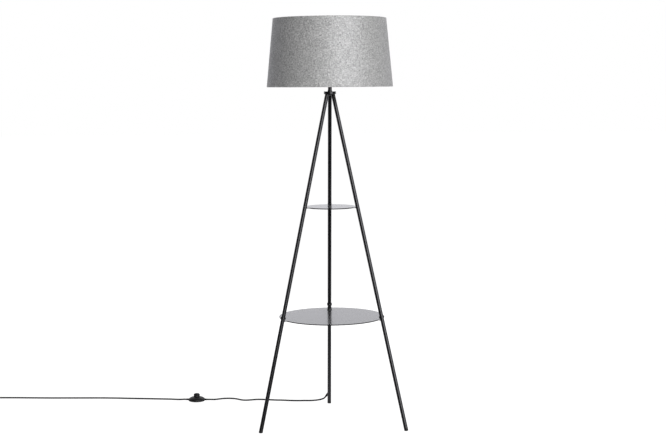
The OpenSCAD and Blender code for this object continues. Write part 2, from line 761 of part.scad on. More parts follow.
module switch_glands() {
    color(black_plastic) gland_places() difference() {
        union() {
            cylinder(r = gland_r, h = gland_root + 0.5);
            translate([0, 0, gland_root + 0.5]) cylinder(r1 = gland_r, r2 = cord_r + 0.35, h = gland_out - 0.5);
        }
        translate([0, 0, -cut]) cylinder(r = cord_r + fit, h = gland_root + gland_out + 2 * cut);
    }
}

module switch_button() {
    rim = button_top_z - button_low_z;
    color(black_plastic) on_switch() difference() {
        union() {
            translate([0, 0, button_low_z]) rotate_extrude() polygon([[0, 0], [button_r, 0], [button_r, rim - 6],
                [button_r - 0.5, rim - 4], [button_r - 1.8, rim - 2.2], [button_r - 4, rim - 0.9],
                [button_r - 7, rim - 0.2], [button_r - 10, rim], [0, rim]]);
            translate([0, 0, ceiling_z - 2.3]) cylinder(r = button_r + 1.6, h = 2);
        }
        translate([0, 0, button_low_z - cut]) cylinder(r = hollow_r, h = post_low_z - button_low_z + cut);
        translate([0, 0, post_low_z]) tube_space(hollow_r, post_r, hollow_top_z - post_low_z);
    }
}

module tube_space(r, bore, h) {
    translate([0, 0, -0.01]) rotate_extrude() translate([bore, 0]) square([r - bore, h + 0.01]);
}

// The spring stands on the contact block's pedestal, round the button's post
module switch_spring() {
    color(zinc) on_switch() translate([0, 0, pedestal_z]) tube(post_r + 2, post_r + 0.8, hollow_top_z - pedestal_z);
}

module switch_contacts() {
    color(white_plastic) on_switch() {
        translate([-10, -6, switch_floor_z]) cube([20, 12, block_top_z - switch_floor_z]);
        translate([0, 0, switch_floor_z]) cylinder(r = post_r + 3, h = pedestal_z - switch_floor_z);
    }
}

// Both cores run on from each end of the cord's sheath to the contact block
module switch_cores() {
    for (side = [-1, 1], lane = [-1, 1]) color(lane < 0 ? [0.1, 0.3, 0.7] : [0.45, 0.3, 0.15])
        on_switch() translate([side * 10, lane * (core_r + 0.08), gland_z]) rotate([0, side * 90, 0])
            cylinder(r = core_r, h = switch_r - sheath_in - 10);
}

// The coil: two layers of turns wound as one spiral in and out again
coil_place = [-1445, 408.4, 0];
coil_pitch = cord_d + 0.6;
coil_outer_r = 40;
coil_turns = 4.25;
tie_t = 0.8;
coil_z = tie_t + cord_r;
reverse_start = coil_turns / 2 - 0.25;
reverse_end = coil_turns / 2 + 0.25;
steps_per_turn = 24;

function coil_radius(u) =
    u < reverse_start ? coil_outer_r - coil_pitch * u
    : u > reverse_end ? coil_outer_r - coil_pitch * (coil_turns - u)
    : coil_outer_r - coil_pitch * u + 2 * coil_pitch * pow(u - reverse_start, 2);

function coil_height(u) =
    u < reverse_start ? coil_z
    : u > reverse_end ? coil_z + coil_pitch
    : coil_z + coil_pitch * (1 - cos(360 * (u - reverse_start))) / 2;

function coil_point(u) = coil_place + [coil_radius(u) * cos(90 + 360 * u), coil_radius(u) * sin(90 + 360 * u),
    coil_height(u)];

coil_entry = coil_point(0) + [cord_d, 0, 0];
coil_leave = coil_point(coil_turns) - [0, cord_d, 0];
coil_route = concat([coil_entry], [for (k = [0:coil_turns * steps_per_turn]) coil_point(k / steps_per_turn)],
    [coil_leave]);

// Least gap of the coil to itself, between points at least half a turn apart
coil_gap = min([for (i = [0:len(coil_route) - 1], j = [0:len(coil_route) - 1])
    if (j > i + steps_per_turn / 2) norm(coil_route[i] - coil_route[j])]) - cord_d;

// Free cord: the route's points, chosen by hand along the line that the photograph shows
cord_exit = leg_point(sideways(leg_r, exit_s), rear_turn);
relief_tip = leg_point(sideways(leg_r, exit_s) + exit_dir * relief_l, rear_turn);
gland_tip = switch_r + gland_out;
sheath_end = switch_r - sheath_in;

leg_to_switch = concat([cord_exit, relief_tip], [
    [-21, 287, 18], [-28, 294, 13.2], [-37, 300.5, 9.2], [-48, 305.5, 6.4], [-60, 309, 4.4],
    [-76, 311, 3.3], [-100, 313, 3.1], [-130, 313, 3.1], [-160, 318, 3.1], [-190, 325.5, 3.1],
    [-220, 330, 3.1], [-250, 338, 3.1], [-278, 345, 3.1], [-300, 345.5, 3.1], [-320, 340, 3.1],
    [-340, 335.5, 3.1], [-356, 338.5, 3.1], [-370, 350, 3.1], [-385, 363.5, 3.1], [-402, 372, 3.1],
    [-420, 374.5, 3.1], [-436, 372.6, 3.1], [-450, 367, 3.1], [-462, 360.5, 3.2], [-473, 354.2, 3.8],
    [-484, 349.7, 5], [-494, 348.4, 5.6]],
    [for (r = [gland_tip, switch_r, sheath_end]) on_cord_line(r)]);

switch_to_coil = concat([for (r = [sheath_end, switch_r, gland_tip]) on_cord_line(-r)], [
    [-598, 357.8, 5.6], [-606, 359.6, 5], [-615, 363, 3.9], [-625, 366.8, 3.2], [-636, 370.3, 3.1],
    [-650, 373.5, 3.1], [-670, 377.2, 3.1], [-690, 380.3, 3.1], [-720, 384.5, 3.1], [-750, 389, 3.1],
    [-790, 395, 3.1],
    [-840, 402.5, 3.1], [-890, 410, 3.1], [-940, 415.5, 3.1], [-990, 419, 3.1], [-1040, 422, 3.1],
    [-1090, 425, 3.1], [-1140, 428, 3.1], [-1190, 432, 3.1], [-1240, 437, 3.1], [-1290, 442, 3.1],
    [-1340, 446, 3.1], [-1380, 448, 3.3], [-1410, 448.4, 3.6]],
    [coil_entry]);

plug_tip = [coil_leave[0], coil_leave[1] - 30, plug_t / 2];
coil_to_plug = [coil_leave, coil_leave + [0, -8, -0.7], coil_leave + [0, -18, -2], plug_tip];

module cord_leg_to_switch() { color(black_plastic) sweep(leg_to_switch, cord_r, 8); }
module cord_switch_to_coil() { color(black_plastic) sweep(switch_to_coil, cord_r, 8); }
module cord_coil() { color(black_plastic) sweep(coil_route, cord_r, 6); }
module cord_coil_to_plug() { color(black_plastic) sweep(coil_to_plug, cord_r, 8); }

// A strap round the turns, on the side of the coil nearest the plug
module cord_tie() {
    slack = 0.7;
    low = coil_outer_r - 2 * coil_pitch - cord_r - slack;
    high = coil_outer_r + cord_r + slack;
    top = coil_z + coil_pitch + cord_r + 0.2;
    width = 8;
    color(black_plastic) translate(coil_place) rotate([0, 0, 270]) difference() {
        translate([low - 1, -width / 2, 0]) cube([high - low + 2, width, top + 1]);
        translate([low, -width / 2 - cut, tie_t - 0.2]) cube([high - low, width + 2 * cut, top - tie_t + 0.2]);
    }
}

// Plug with two round pins, lying flat
module on_plug() { translate(plug_tip) rotate([90, 0, 0]) children(); }

module plug_body() {
    grip_w = plug_w * 0.55;
    face = plug_relief_l + plug_l;
    color(black_plastic) on_plug() difference() {
        union() {
            cylinder(r1 = cord_r + 0.8, r2 = 5, h = plug_relief_l);
            translate([0, 0, plug_relief_l]) intersection() {
                rotate([90, 0, 0]) translate([0, 0, -plug_t / 2]) linear_extrude(height = plug_t) polygon([
                    [-grip_w / 2, 0], [grip_w / 2, 0], [grip_w / 2 + 1, plug_l * 0.35], [plug_w / 2, plug_l * 0.6],
                    [plug_w / 2, plug_l], [-plug_w / 2, plug_l], [-plug_w / 2, plug_l * 0.6],
                    [-grip_w / 2 - 1, plug_l * 0.35]]);
                rotate([90, 0, 90]) translate([0, 0, -plug_w / 2]) linear_extrude(height = plug_w) polygon([
                    [-plug_t / 2, 3], [-plug_t / 2 + 2, 0], [plug_t / 2 - 2, 0], [plug_t / 2, 3],
                    [plug_t / 2, plug_l - 1], [plug_t / 2 - 1, plug_l], [1 - plug_t / 2, plug_l], [-plug_t / 2, plug_l - 1]]);
            }
            for (side = [-1, 1]) translate([side * pin_gap / 2, 0, face]) cylinder(d = pin_d - 0.1, h = pin_sleeve_l);
        }
        translate([0, 0, -cut]) cylinder(r = cord_r + fit, h = 12 + cut);
        for (side = [-1, 1]) translate([side * pin_gap / 2, 0, face - 8])
            cylinder(d = pin_d - 0.9, h = 9 + pin_sleeve_l);
    }
}

module plug_pins() {
    face = plug_relief_l + plug_l;
    color(zinc) on_plug() for (side = [-1, 1]) translate([side * pin_gap / 2, 0, face]) {
        translate([0, 0, -7.9]) cylinder(d = pin_d - 1, h = 7.9 + pin_sleeve_l);
        translate([0, 0, pin_sleeve_l]) cylinder(d = pin_d, h = pin_l - pin_sleeve_l - 1);
        translate([0, 0, pin_l - 1]) cylinder(d1 = pin_d, d2 = pin_d - 1.2, h = 1);
    }
}

echo(coil_gap_mm = coil_gap, coil_length_mm = route_length(coil_route),
    first_stretch_mm = route_length(leg_to_switch), second_stretch_mm = route_length(switch_to_coil),
    last_stretch_mm = route_length(coil_to_plug), inner_mm = route_length(inner_route));

shade_fabric();
shade_liner();
shade_top_ring();
shade_bottom_ring();
shade_arms();
shade_fitter();
lampholder_cap();
lampholder_body();
lampholder_ring();
lampholder_insert();
screw_shell();
terminals();
bulb_globe();
bulb_base();
bulb_cap();
neck_tube();
neck_collar();
neck_nipple();
hub_lid();
hub_body();
hub_plug();
hub_screws();
leg_studs();
leg_upper_rear();
leg_upper_left();
leg_upper_right();
coupler_rear();
coupler_left();
coupler_right();
coupler_screws();
leg_lower_rear();
leg_lower_left();
leg_lower_right();
foot_rear();
foot_left();
foot_right();
shelf_upper();
shelf_lower();
inner_cord();
core_wires();
cord_relief();
cord_leg_to_switch();
switch_pad();
switch_base();
switch_cover();
switch_glands();
switch_button();
switch_spring();
switch_contacts();
switch_cores();
switch_screws();
cord_switch_to_coil();
cord_coil();
cord_tie();
cord_coil_to_plug();
plug_body();
plug_pins();
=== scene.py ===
import json
from math import asin, atan2, cos, degrees, hypot, pi, radians, sin, tan

import bmesh
import bpy
from mathutils import Matrix, Vector


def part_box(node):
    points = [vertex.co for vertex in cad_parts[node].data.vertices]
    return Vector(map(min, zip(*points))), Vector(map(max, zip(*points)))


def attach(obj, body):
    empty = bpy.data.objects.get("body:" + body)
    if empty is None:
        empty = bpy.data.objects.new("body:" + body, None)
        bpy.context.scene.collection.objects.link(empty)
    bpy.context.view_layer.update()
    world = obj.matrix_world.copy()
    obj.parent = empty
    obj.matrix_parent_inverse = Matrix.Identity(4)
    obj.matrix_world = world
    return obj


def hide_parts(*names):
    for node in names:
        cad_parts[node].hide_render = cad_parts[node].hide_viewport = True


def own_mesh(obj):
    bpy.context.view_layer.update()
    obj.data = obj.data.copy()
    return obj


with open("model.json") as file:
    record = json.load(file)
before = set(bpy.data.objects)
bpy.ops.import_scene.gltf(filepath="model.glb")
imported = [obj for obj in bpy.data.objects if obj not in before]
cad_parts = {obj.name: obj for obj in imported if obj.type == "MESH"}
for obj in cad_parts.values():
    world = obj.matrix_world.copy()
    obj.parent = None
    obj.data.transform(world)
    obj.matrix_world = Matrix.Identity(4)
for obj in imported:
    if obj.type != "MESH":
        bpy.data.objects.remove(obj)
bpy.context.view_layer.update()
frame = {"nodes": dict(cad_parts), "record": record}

bpy.context.scene.view_settings.view_transform = "Standard"

# The lamp's own measures, in metres: read from the frame, or the same as in the part's source
SHADE_LOW, SHADE_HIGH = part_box("shade_fabric")
AXIS = Vector((0, (SHADE_LOW.y + SHADE_HIGH.y) / 2, 0))
SHADE_Z = SHADE_LOW.z
SHADE_H = SHADE_HIGH.z - SHADE_LOW.z
SHADE_BOTTOM_R = 0.239
SHADE_TOP_R = 0.214
LEG_D = 0.015
FOOT_CIRCLE_R = 0.317
HUB_D = 0.0465
HUB_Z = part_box("hub_body")[0].z
HUB_CIRCLE_R = 0.013
LEG_TILT = atan2(FOOT_CIRCLE_R - HUB_CIRCLE_R, HUB_Z)
REAR_LEG = radians(90)
LOWER_SHELF_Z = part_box("shelf_lower")[1].z
UPPER_SHELF_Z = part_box("shelf_upper")[1].z
COUPLER_RISE = 0.007
COUPLER_H = 0.0085
SOCKET_DEPTH = 0.0045
CORD_D = 0.0062

# The camera that fits the photograph: a long lens in front of the lamp, aimed a little down.
# Lengths in pixels are those of the photograph's frame
PHOTO_W = 666
FOCAL_PX = 1400
AXIS_PX = 330.78
SENSOR_MM = 36
CAMERA_DISTANCE = 5.3248
CAMERA_HEIGHT = 1.3105
CAMERA_TURN = 0.0352
CAMERA_PITCH = 0.0997
CAMERA_ROLL = 0.0065
CAMERA_REACH = 60


def make_camera():
    data = bpy.data.cameras.new("camera")
    data.sensor_width = SENSOR_MM
    data.lens = SENSOR_MM * FOCAL_PX / PHOTO_W
    data.clip_end = CAMERA_REACH
    camera = bpy.data.objects.new("camera", data)
    bpy.context.scene.collection.objects.link(camera)
    place = AXIS + Vector((-sin(CAMERA_TURN), -cos(CAMERA_TURN), 0)) * CAMERA_DISTANCE
    place.z = CAMERA_HEIGHT
    heading = atan2(AXIS_PX - PHOTO_W / 2, FOCAL_PX) - CAMERA_TURN
    camera.matrix_world = (
        Matrix.Translation(place)
        @ Matrix.Rotation(heading, 4, "Z")
        @ Matrix.Rotation(pi / 2 - CAMERA_PITCH, 4, "X")
        @ Matrix.Rotation(-CAMERA_ROLL, 4, "Z")
    )
    bpy.context.scene.camera = camera


make_camera()


# Small tools that the pieces below share
UP = Vector((0, 0, 1))
# Edges that turn by more degrees than this stay sharp
SHARP = 35
# A radius under this is a point on the axis
POLE_R = 1e-7


def link(name, data):
    piece = bpy.data.objects.new(name, data)
    bpy.context.scene.collection.objects.link(piece)
    return piece


def finish_piece(piece, finish, body="lamp", replaces=()):
    """Gives a piece the material of its slot, puts it under its body, and hides the CAD nodes that
    it stands for.
    """
    piece.data.materials.clear()
    piece.data.materials.append(MATERIALS[finish])
    if piece.type == "MESH":
        piece.data.polygons.foreach_set("material_index", [0] * len(piece.data.polygons))
    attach(piece, body)
    if replaces:
        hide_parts(*replaces)
    return piece


def mesh_piece(name, verts, faces, smooth=True):
    mesh = bpy.data.meshes.new(name)
    mesh.from_pydata([tuple(v) for v in verts], [], faces)
    mesh.polygons.foreach_set("use_smooth", [smooth] * len(faces))
    mesh.update()
    return link(name, mesh)


def sharpen(piece, angle=SHARP):
    """Marks the edges past that angle as sharp, so that only the round parts shade smoothly."""
    tool = bmesh.new()
    tool.from_mesh(piece.data)
    bmesh.ops.recalc_face_normals(tool, faces=tool.faces)
    for edge in tool.edges:
        edge.smooth = len(edge.link_faces) == 2 and edge.calc_face_angle(0) < radians(angle)
    tool.to_mesh(piece.data)
    tool.free()
    return piece


def between_rings(rings):
    """Faces that join each ring of vertex numbers to the next; a ring of one vertex is a pole."""
    faces = []
    for low, high in zip(rings, rings[1:]):
        count = max(len(low), len(high))
        for k in range(count):
            m = (k + 1) % count
            corners = [low[k % len(low)], low[m % len(low)]]
            corners += [high[m % len(high)], high[k % len(high)]]
            faces.append(tuple(dict.fromkeys(corners)))
    return faces


def lathe(name, profile, centre, axis=UP, around=96, angle=SHARP):
    """A piece turned about an axis.

    Its profile has points (radius, height), or (radius, height, sides) for a flat-sided ring. It is
    closed, either at two poles or from its last point to its first.
    """
    turn = axis.normalized().to_track_quat("Z", "Y").to_matrix()
    verts, rings = [], []
    for radius, height, *sides in profile:
        count = 1 if radius < POLE_R else around
        rings.append(range(len(verts), len(verts) + count))
        for k in range(count):
            a = 2 * pi * k / around
            step = pi / sides[0] if sides else 0
            reach = radius * cos(step) / cos(a % (2 * step) - step) if sides else radius
            verts.append(centre + turn @ Vector((reach * cos(a), reach * sin(a), height)))
    if len(rings[0]) > 1:
        rings.append(rings[0])
    return sharpen(mesh_piece(name, verts, between_rings(rings)), angle)


def arc(centre, radius, start, end, steps):
    """Points (radius, height) on a round stretch of a profile, in degrees."""
    angles = [radians(start + (end - start) * k / steps) for k in range(steps + 1)]
    return [(centre[0] + radius * cos(a), centre[1] + radius * sin(a)) for a in angles]


def loft(name, sections, centre, around=48):
    """A closed piece along +Z from sections (height, half width, half thickness, squareness)."""
    verts, rings = [centre + Vector((0, 0, sections[0][0]))], [range(1)]
    for height, wide, thick, square in sections:
        rings.append(range(len(verts), len(verts) + around))
        for k in range(around):
            c, s = cos(2 * pi * k / around), sin(2 * pi * k / around)
            x = wide * abs(c) ** (2 / square) * (1 if c > 0 else -1)
            y = thick * abs(s) ** (2 / square) * (1 if s > 0 else -1)
            verts.append(centre + Vector((x, y, height)))
    rings.append(range(len(verts), len(verts) + 1))
    verts.append(centre + Vector((0, 0, sections[-1][0])))
    return sharpen(mesh_piece(name, verts, between_rings(rings)))


def turned(point, angle):
    across = point[0] * cos(angle) - point[1] * sin(angle)
    return Vector((across, point[0] * sin(angle) + point[1] * cos(angle), point[2]))


def on_leg(point, turn):
    """The place of a point given outwards, across and up a leg, with the foot as its origin."""
    x = FOOT_CIRCLE_R + point[0] * cos(LEG_TILT) - point[2] * sin(LEG_TILT)
    z = point[0] * sin(LEG_TILT) + point[2] * cos(LEG_TILT)
    return AXIS + turned((x, point[1], z), turn)


def place_mesh(piece, matrix):
    piece.data.transform(matrix)
    piece.data.update()
    return piece


def drop(piece):
    bpy.data.objects.remove(piece)


# The cords. Their routes' points are the same as in the part's source, in metres.
# The front one leaves the rear leg halfway between its side and its outside, pointing down
EXIT_Z = 0.040
EXIT_ANGLE = radians(35)
RELIEF_L = 0.020
EXIT_UP = EXIT_Z / cos(LEG_TILT)
DIAGONAL = hypot(1, 1)
EXIT_SIDE = LEG_D / 2 / DIAGONAL
EXIT_LEAN = sin(EXIT_ANGLE) / DIAGONAL
EXIT_RUN = Vector((EXIT_LEAN, EXIT_LEAN, -cos(EXIT_ANGLE))) * RELIEF_L
CORD_EXIT = on_leg((EXIT_SIDE, EXIT_SIDE, EXIT_UP), REAR_LEG)
RELIEF_TIP = on_leg(
    (EXIT_SIDE + EXIT_RUN.x, EXIT_SIDE + EXIT_RUN.y, EXIT_UP + EXIT_RUN.z), REAR_LEG
)
EXIT_DIR = (RELIEF_TIP - CORD_EXIT).normalized()

SWITCH = Vector((-0.5465, 0.353, 0))
SWITCH_TURN = radians(-5.2)
SWITCH_R = 0.034
SWITCH_H = 0.0165
SWITCH_TOP_D = 0.035
BUTTON_R = 0.0125
GLAND_OUT = 0.010
GLAND_Z = 0.0055
SHEATH_IN = 0.014

LEG_TO_SWITCH = [
    (-0.0210, 0.2870, 0.0180), (-0.0280, 0.2940, 0.0132), (-0.0370, 0.3005, 0.0092),
    (-0.0480, 0.3055, 0.0064), (-0.0600, 0.3090, 0.0044), (-0.0760, 0.3110, 0.0033),
    (-0.1000, 0.3130, 0.0031), (-0.1300, 0.3130, 0.0031), (-0.1600, 0.3180, 0.0031),
    (-0.1900, 0.3255, 0.0031), (-0.2200, 0.3300, 0.0031), (-0.2500, 0.3380, 0.0031),
    (-0.2780, 0.3450, 0.0031), (-0.3000, 0.3455, 0.0031), (-0.3200, 0.3400, 0.0031),
    (-0.3400, 0.3355, 0.0031), (-0.3560, 0.3385, 0.0031), (-0.3700, 0.3500, 0.0031),
    (-0.3850, 0.3635, 0.0031), (-0.4020, 0.3720, 0.0031), (-0.4200, 0.3745, 0.0031),
    (-0.4360, 0.3726, 0.0031), (-0.4500, 0.3670, 0.0031), (-0.4620, 0.3605, 0.0032),
    (-0.4730, 0.3542, 0.0038), (-0.4840, 0.3497, 0.0050), (-0.4940, 0.3484, 0.0056),
]
SWITCH_TO_COIL = [
    (-0.5980, 0.3578, 0.0056), (-0.6060, 0.3596, 0.0050), (-0.6150, 0.3630, 0.0039),
    (-0.6250, 0.3668, 0.0032), (-0.6360, 0.3703, 0.0031), (-0.6500, 0.3735, 0.0031),
    (-0.6700, 0.3772, 0.0031), (-0.6900, 0.3803, 0.0031), (-0.7200, 0.3845, 0.0031),
    (-0.7500, 0.3890, 0.0031), (-0.7900, 0.3950, 0.0031), (-0.8400, 0.4025, 0.0031),
    (-0.8900, 0.4100, 0.0031), (-0.9400, 0.4155, 0.0031), (-0.9900, 0.4190, 0.0031),
    (-1.0400, 0.4220, 0.0031), (-1.0900, 0.4250, 0.0031), (-1.1400, 0.4280, 0.0031),
    (-1.1900, 0.4320, 0.0031), (-1.2400, 0.4370, 0.0031), (-1.2900, 0.4420, 0.0031),
    (-1.3400, 0.4460, 0.0031), (-1.3800, 0.4480, 0.0033), (-1.4100, 0.4484, 0.0036),
]
COIL = Vector((-1.445, 0.4084, 0))
COIL_PITCH = CORD_D + 0.0006
COIL_OUTER_R = 0.040
COIL_TURNS = 4.25
# The share of a turn in which the cord climbs from the lower layer to the upper one
COIL_CLIMB = 0.5
COIL_STEPS = 24
STRAP_T = 0.0008
COIL_Z = STRAP_T + CORD_D / 2
# The short run from the coil down to the plug: its points and its end, from where the coil ends
PLUG_RUN = [(0, -0.008, -0.0007), (0, -0.018, -0.0020)]
PLUG_RUN_L = 0.030
PLUG_T = 0.0138
PIN_GAP = 0.0186


def coil_point(u):
    """A point of the coil after u turns: in on the floor, up a layer and out again."""
    start = (COIL_TURNS - COIL_CLIMB) / 2
    end = (COIL_TURNS + COIL_CLIMB) / 2
    radius = COIL_OUTER_R - COIL_PITCH * min(u, COIL_TURNS - u)
    height = COIL_Z + (COIL_PITCH if u > end else 0)
    if start <= u <= end:
        radius = COIL_OUTER_R - COIL_PITCH * u + COIL_PITCH * (u - start) ** 2 / COIL_CLIMB
        height = COIL_Z + COIL_PITCH * (1 - cos(pi * (u - start) / COIL_CLIMB)) / 2
    a = pi / 2 + 2 * pi * u
    return COIL + Vector((radius * cos(a), radius * sin(a), height))


def switch_points(sign, reaches):
    return [SWITCH + turned((sign * reach, 0, GLAND_Z), SWITCH_TURN) for reach in reaches]


def cord_curve(name, points):
    """A round cord along a smooth line through the points."""
    curve = bpy.data.curves.new(name, "CURVE")
    curve.dimensions = "3D"
    curve.bevel_depth = CORD_D / 2
    curve.bevel_resolution = 5
    curve.resolution_u = 6
    curve.use_fill_caps = True
    spline = curve.splines.new("BEZIER")
    spline.bezier_points.add(len(points) - 1)
    for knot, point in zip(spline.bezier_points, points):
        knot.co = point
        knot.handle_left_type = "AUTO"
        knot.handle_right_type = "AUTO"
    return link(name, curve)


def make_routes():
    """The lines of both cords, and the place where the plug takes the second one."""
    reaches = (SWITCH_R + GLAND_OUT, SWITCH_R, SWITCH_R - SHEATH_IN)
    front = [CORD_EXIT, RELIEF_TIP] + [Vector(p) for p in LEG_TO_SWITCH]
    front += switch_points(1, reaches)
    leave = coil_point(COIL_TURNS) - Vector((0, CORD_D, 0))
    tip = Vector((leave.x, leave.y - PLUG_RUN_L, PLUG_T / 2))
    supply = switch_points(-1, reaches[::-1]) + [Vector(p) for p in SWITCH_TO_COIL]
    supply += [coil_point(0) + Vector((CORD_D, 0, 0))]
    supply += [coil_point(k / COIL_STEPS) for k in range(int(COIL_TURNS * COIL_STEPS) + 1)]
    supply += [leave] + [leave + Vector(p) for p in PLUG_RUN] + [tip]
    return front, supply, tip


FRONT_ROUTE, SUPPLY_ROUTE, PLUG_TIP = make_routes()
front_cord = cord_curve("front_cord", FRONT_ROUTE)
supply_cord = cord_curve("supply_cord", SUPPLY_ROUTE)


# Materials. Object coordinates are metres, so noise of scale 1000 / s has lumps about s mm across
# The stretch of a noise's values that nearly all of it lies in
NOISE_LOW, NOISE_HIGH = 0.3, 0.7
GRAIN_STRENGTH = 0.4

# The real cloth's threads are 0.5 mm apart. Its weave and its streaks are drawn as much coarser as
# they need to be to show. Each kind of streak has its millimetres across and up the cloth and its
# weight: warp, weft, the longer slubs each way, and flecks
THREAD_MM = 0.8
WEAVE = [(1.3, 9, 1), (9, 1.3, 1), (1.6, 36, 0.6), (36, 1.6, 0.5), (1.6, 1.6, 0.4)]
WEAVE_SPAN = 0.048
# A light thread stands up by this many times the weave's own rise
THREAD_RISE = 1.5
WEAVE_DEPTH = 0.0001
WEAVE_STRENGTH = 0.5
LINEN_DARK = "7b7b7b"
LINEN_LIGHT = "c9c9c8"
LINEN_ROUGH = 0.45
LINEN_ROUGH_DRIFT = 0.04
# High for cloth: the threads' silky lustre, which a single smooth lobe gives only so
LINEN_IOR = 1.62


def linear(code):
    """A colour written as sRGB hex, as the linear value that a shader takes."""
    parts = [int(code[i : i + 2], 16) / 255 for i in (0, 2, 4)]
    return [p / 12.92 if p <= 0.04045 else ((p + 0.055) / 1.055) ** 2.4 for p in parts] + [1]


def add_node(tree, kind, inputs=None, **settings):
    """Adds a node with its settings; inputs are sockets by name or number, as values or links."""
    node = tree.nodes.new(kind)
    for name, value in settings.items():
        setattr(node, name, value)
    for key, value in (inputs or {}).items():
        if isinstance(value, bpy.types.NodeSocket):
            tree.links.new(value, node.inputs[key])
        else:
            node.inputs[key].default_value = value
    return node


def new_material(name):
    material = bpy.data.materials.new(name)
    material.use_nodes = True
    material.node_tree.nodes.clear()
    return material, material.node_tree


def grained_finish(name, tones, cloud_mm, rough, grain_mm, depth_mm, **uniform):
    """A finish whose colour and gloss drift between two values in soft clouds, over a grain."""
    material, tree = new_material(name)
    place = add_node(tree, "ShaderNodeTexCoord").outputs["Object"]
    clouds = {"Vector": place, "Scale": 1000 / cloud_mm, "Detail": 3}
    cloud = add_node(tree, "ShaderNodeTexNoise", clouds).outputs[0]
    grains = {"Vector": place, "Scale": 1000 / grain_mm, "Detail": 2}
    grain = add_node(tree, "ShaderNodeTexNoise", grains).outputs[0]
    drift = {"Value": cloud, "From Min": NOISE_LOW, "From Max": NOISE_HIGH,
        "To Min": rough[0], "To Max": rough[1]}
    gloss = add_node(tree, "ShaderNodeMapRange", drift).outputs[0]
    ends = {0: cloud, 6: linear(tones[0]), 7: linear(tones[1])}
    colour = add_node(tree, "ShaderNodeMix", ends, data_type="RGBA").outputs[2]
    relief = {"Height": grain, "Distance": depth_mm / 1000, "Strength": GRAIN_STRENGTH}
    normal = add_node(tree, "ShaderNodeBump", relief).outputs[0]
    inputs = {"Base Color": colour, "Roughness": gloss, "Normal": normal} | uniform
    shader = add_node(tree, "ShaderNodeBsdfPrincipled", inputs).outputs[0]
    add_node(tree, "ShaderNodeOutputMaterial", {"Surface": shader})
    return material


def melange_linen():
    """Grey melange linen on a stiff liner: threads of mixed tone both ways give a crosshatch."""
    material, tree = new_material("melange_linen")
    cloth = add_node(tree, "ShaderNodeUVMap", uv_map="cloth").outputs[0]
    streaks = []
    for across, along, weight in WEAVE:
        grid = {"Vector": cloth, "Scale": (1000 / across, 1000 / along, 1)}
        place = add_node(tree, "ShaderNodeMapping", grid).outputs[0]
        inputs = {"Vector": place, "Scale": 1, "Detail": 1, "Roughness": 0.6}
        thread = add_node(tree, "ShaderNodeTexNoise", inputs, noise_dimensions="2D").outputs[0]
        share = add_node(tree, "ShaderNodeMath", {0: thread, 1: weight}, operation="MULTIPLY")
        streaks.append(share.outputs[0])
    mixed = streaks[0]
    for streak in streaks[1:]:
        mixed = add_node(tree, "ShaderNodeMath", {0: mixed, 1: streak}, operation="ADD").outputs[0]
    total = sum(weight for _, _, weight in WEAVE)
    span = {"Value": mixed, "From Min": total * (0.5 - WEAVE_SPAN),
        "From Max": total * (0.5 + WEAVE_SPAN)}
    tone = add_node(tree, "ShaderNodeMapRange", span).outputs[0]
    ends = {0: tone, 6: linear(LINEN_DARK), 7: linear(LINEN_LIGHT)}
    colour = add_node(tree, "ShaderNodeMix", ends, data_type="RGBA").outputs[2]
    # The weave's own relief: each thread goes over and under the ones that cross it
    parts = add_node(tree, "ShaderNodeSeparateXYZ", {"Vector": cloth}).outputs
    waves = []
    for i in (0, 1):
        phase = {0: parts[i], 1: pi * 1000 / THREAD_MM}
        turn = add_node(tree, "ShaderNodeMath", phase, operation="MULTIPLY").outputs[0]
        waves.append(add_node(tree, "ShaderNodeMath", {0: turn}, operation="SINE").outputs[0])
    crossing = {0: waves[0], 1: waves[1]}
    over = add_node(tree, "ShaderNodeMath", crossing, operation="MULTIPLY").outputs[0]
    rise = {0: tone, 1: THREAD_RISE, 2: over}
    height = add_node(tree, "ShaderNodeMath", rise, operation="MULTIPLY_ADD").outputs[0]
    relief = {"Height": height, "Distance": WEAVE_DEPTH, "Strength": WEAVE_STRENGTH}
    normal = add_node(tree, "ShaderNodeBump", relief).outputs[0]
    dry = {"Value": tone, "To Min": LINEN_ROUGH + LINEN_ROUGH_DRIFT,
        "To Max": LINEN_ROUGH - LINEN_ROUGH_DRIFT}
    gloss = add_node(tree, "ShaderNodeMapRange", dry).outputs[0]
    inputs = {"Base Color": colour, "Roughness": gloss, "Normal": normal,
        "Specular IOR Level": 1.0, "IOR": LINEN_IOR}
    shader = add_node(tree, "ShaderNodeBsdfPrincipled", inputs).outputs[0]
    add_node(tree, "ShaderNodeOutputMaterial", {"Surface": shader})
    return material


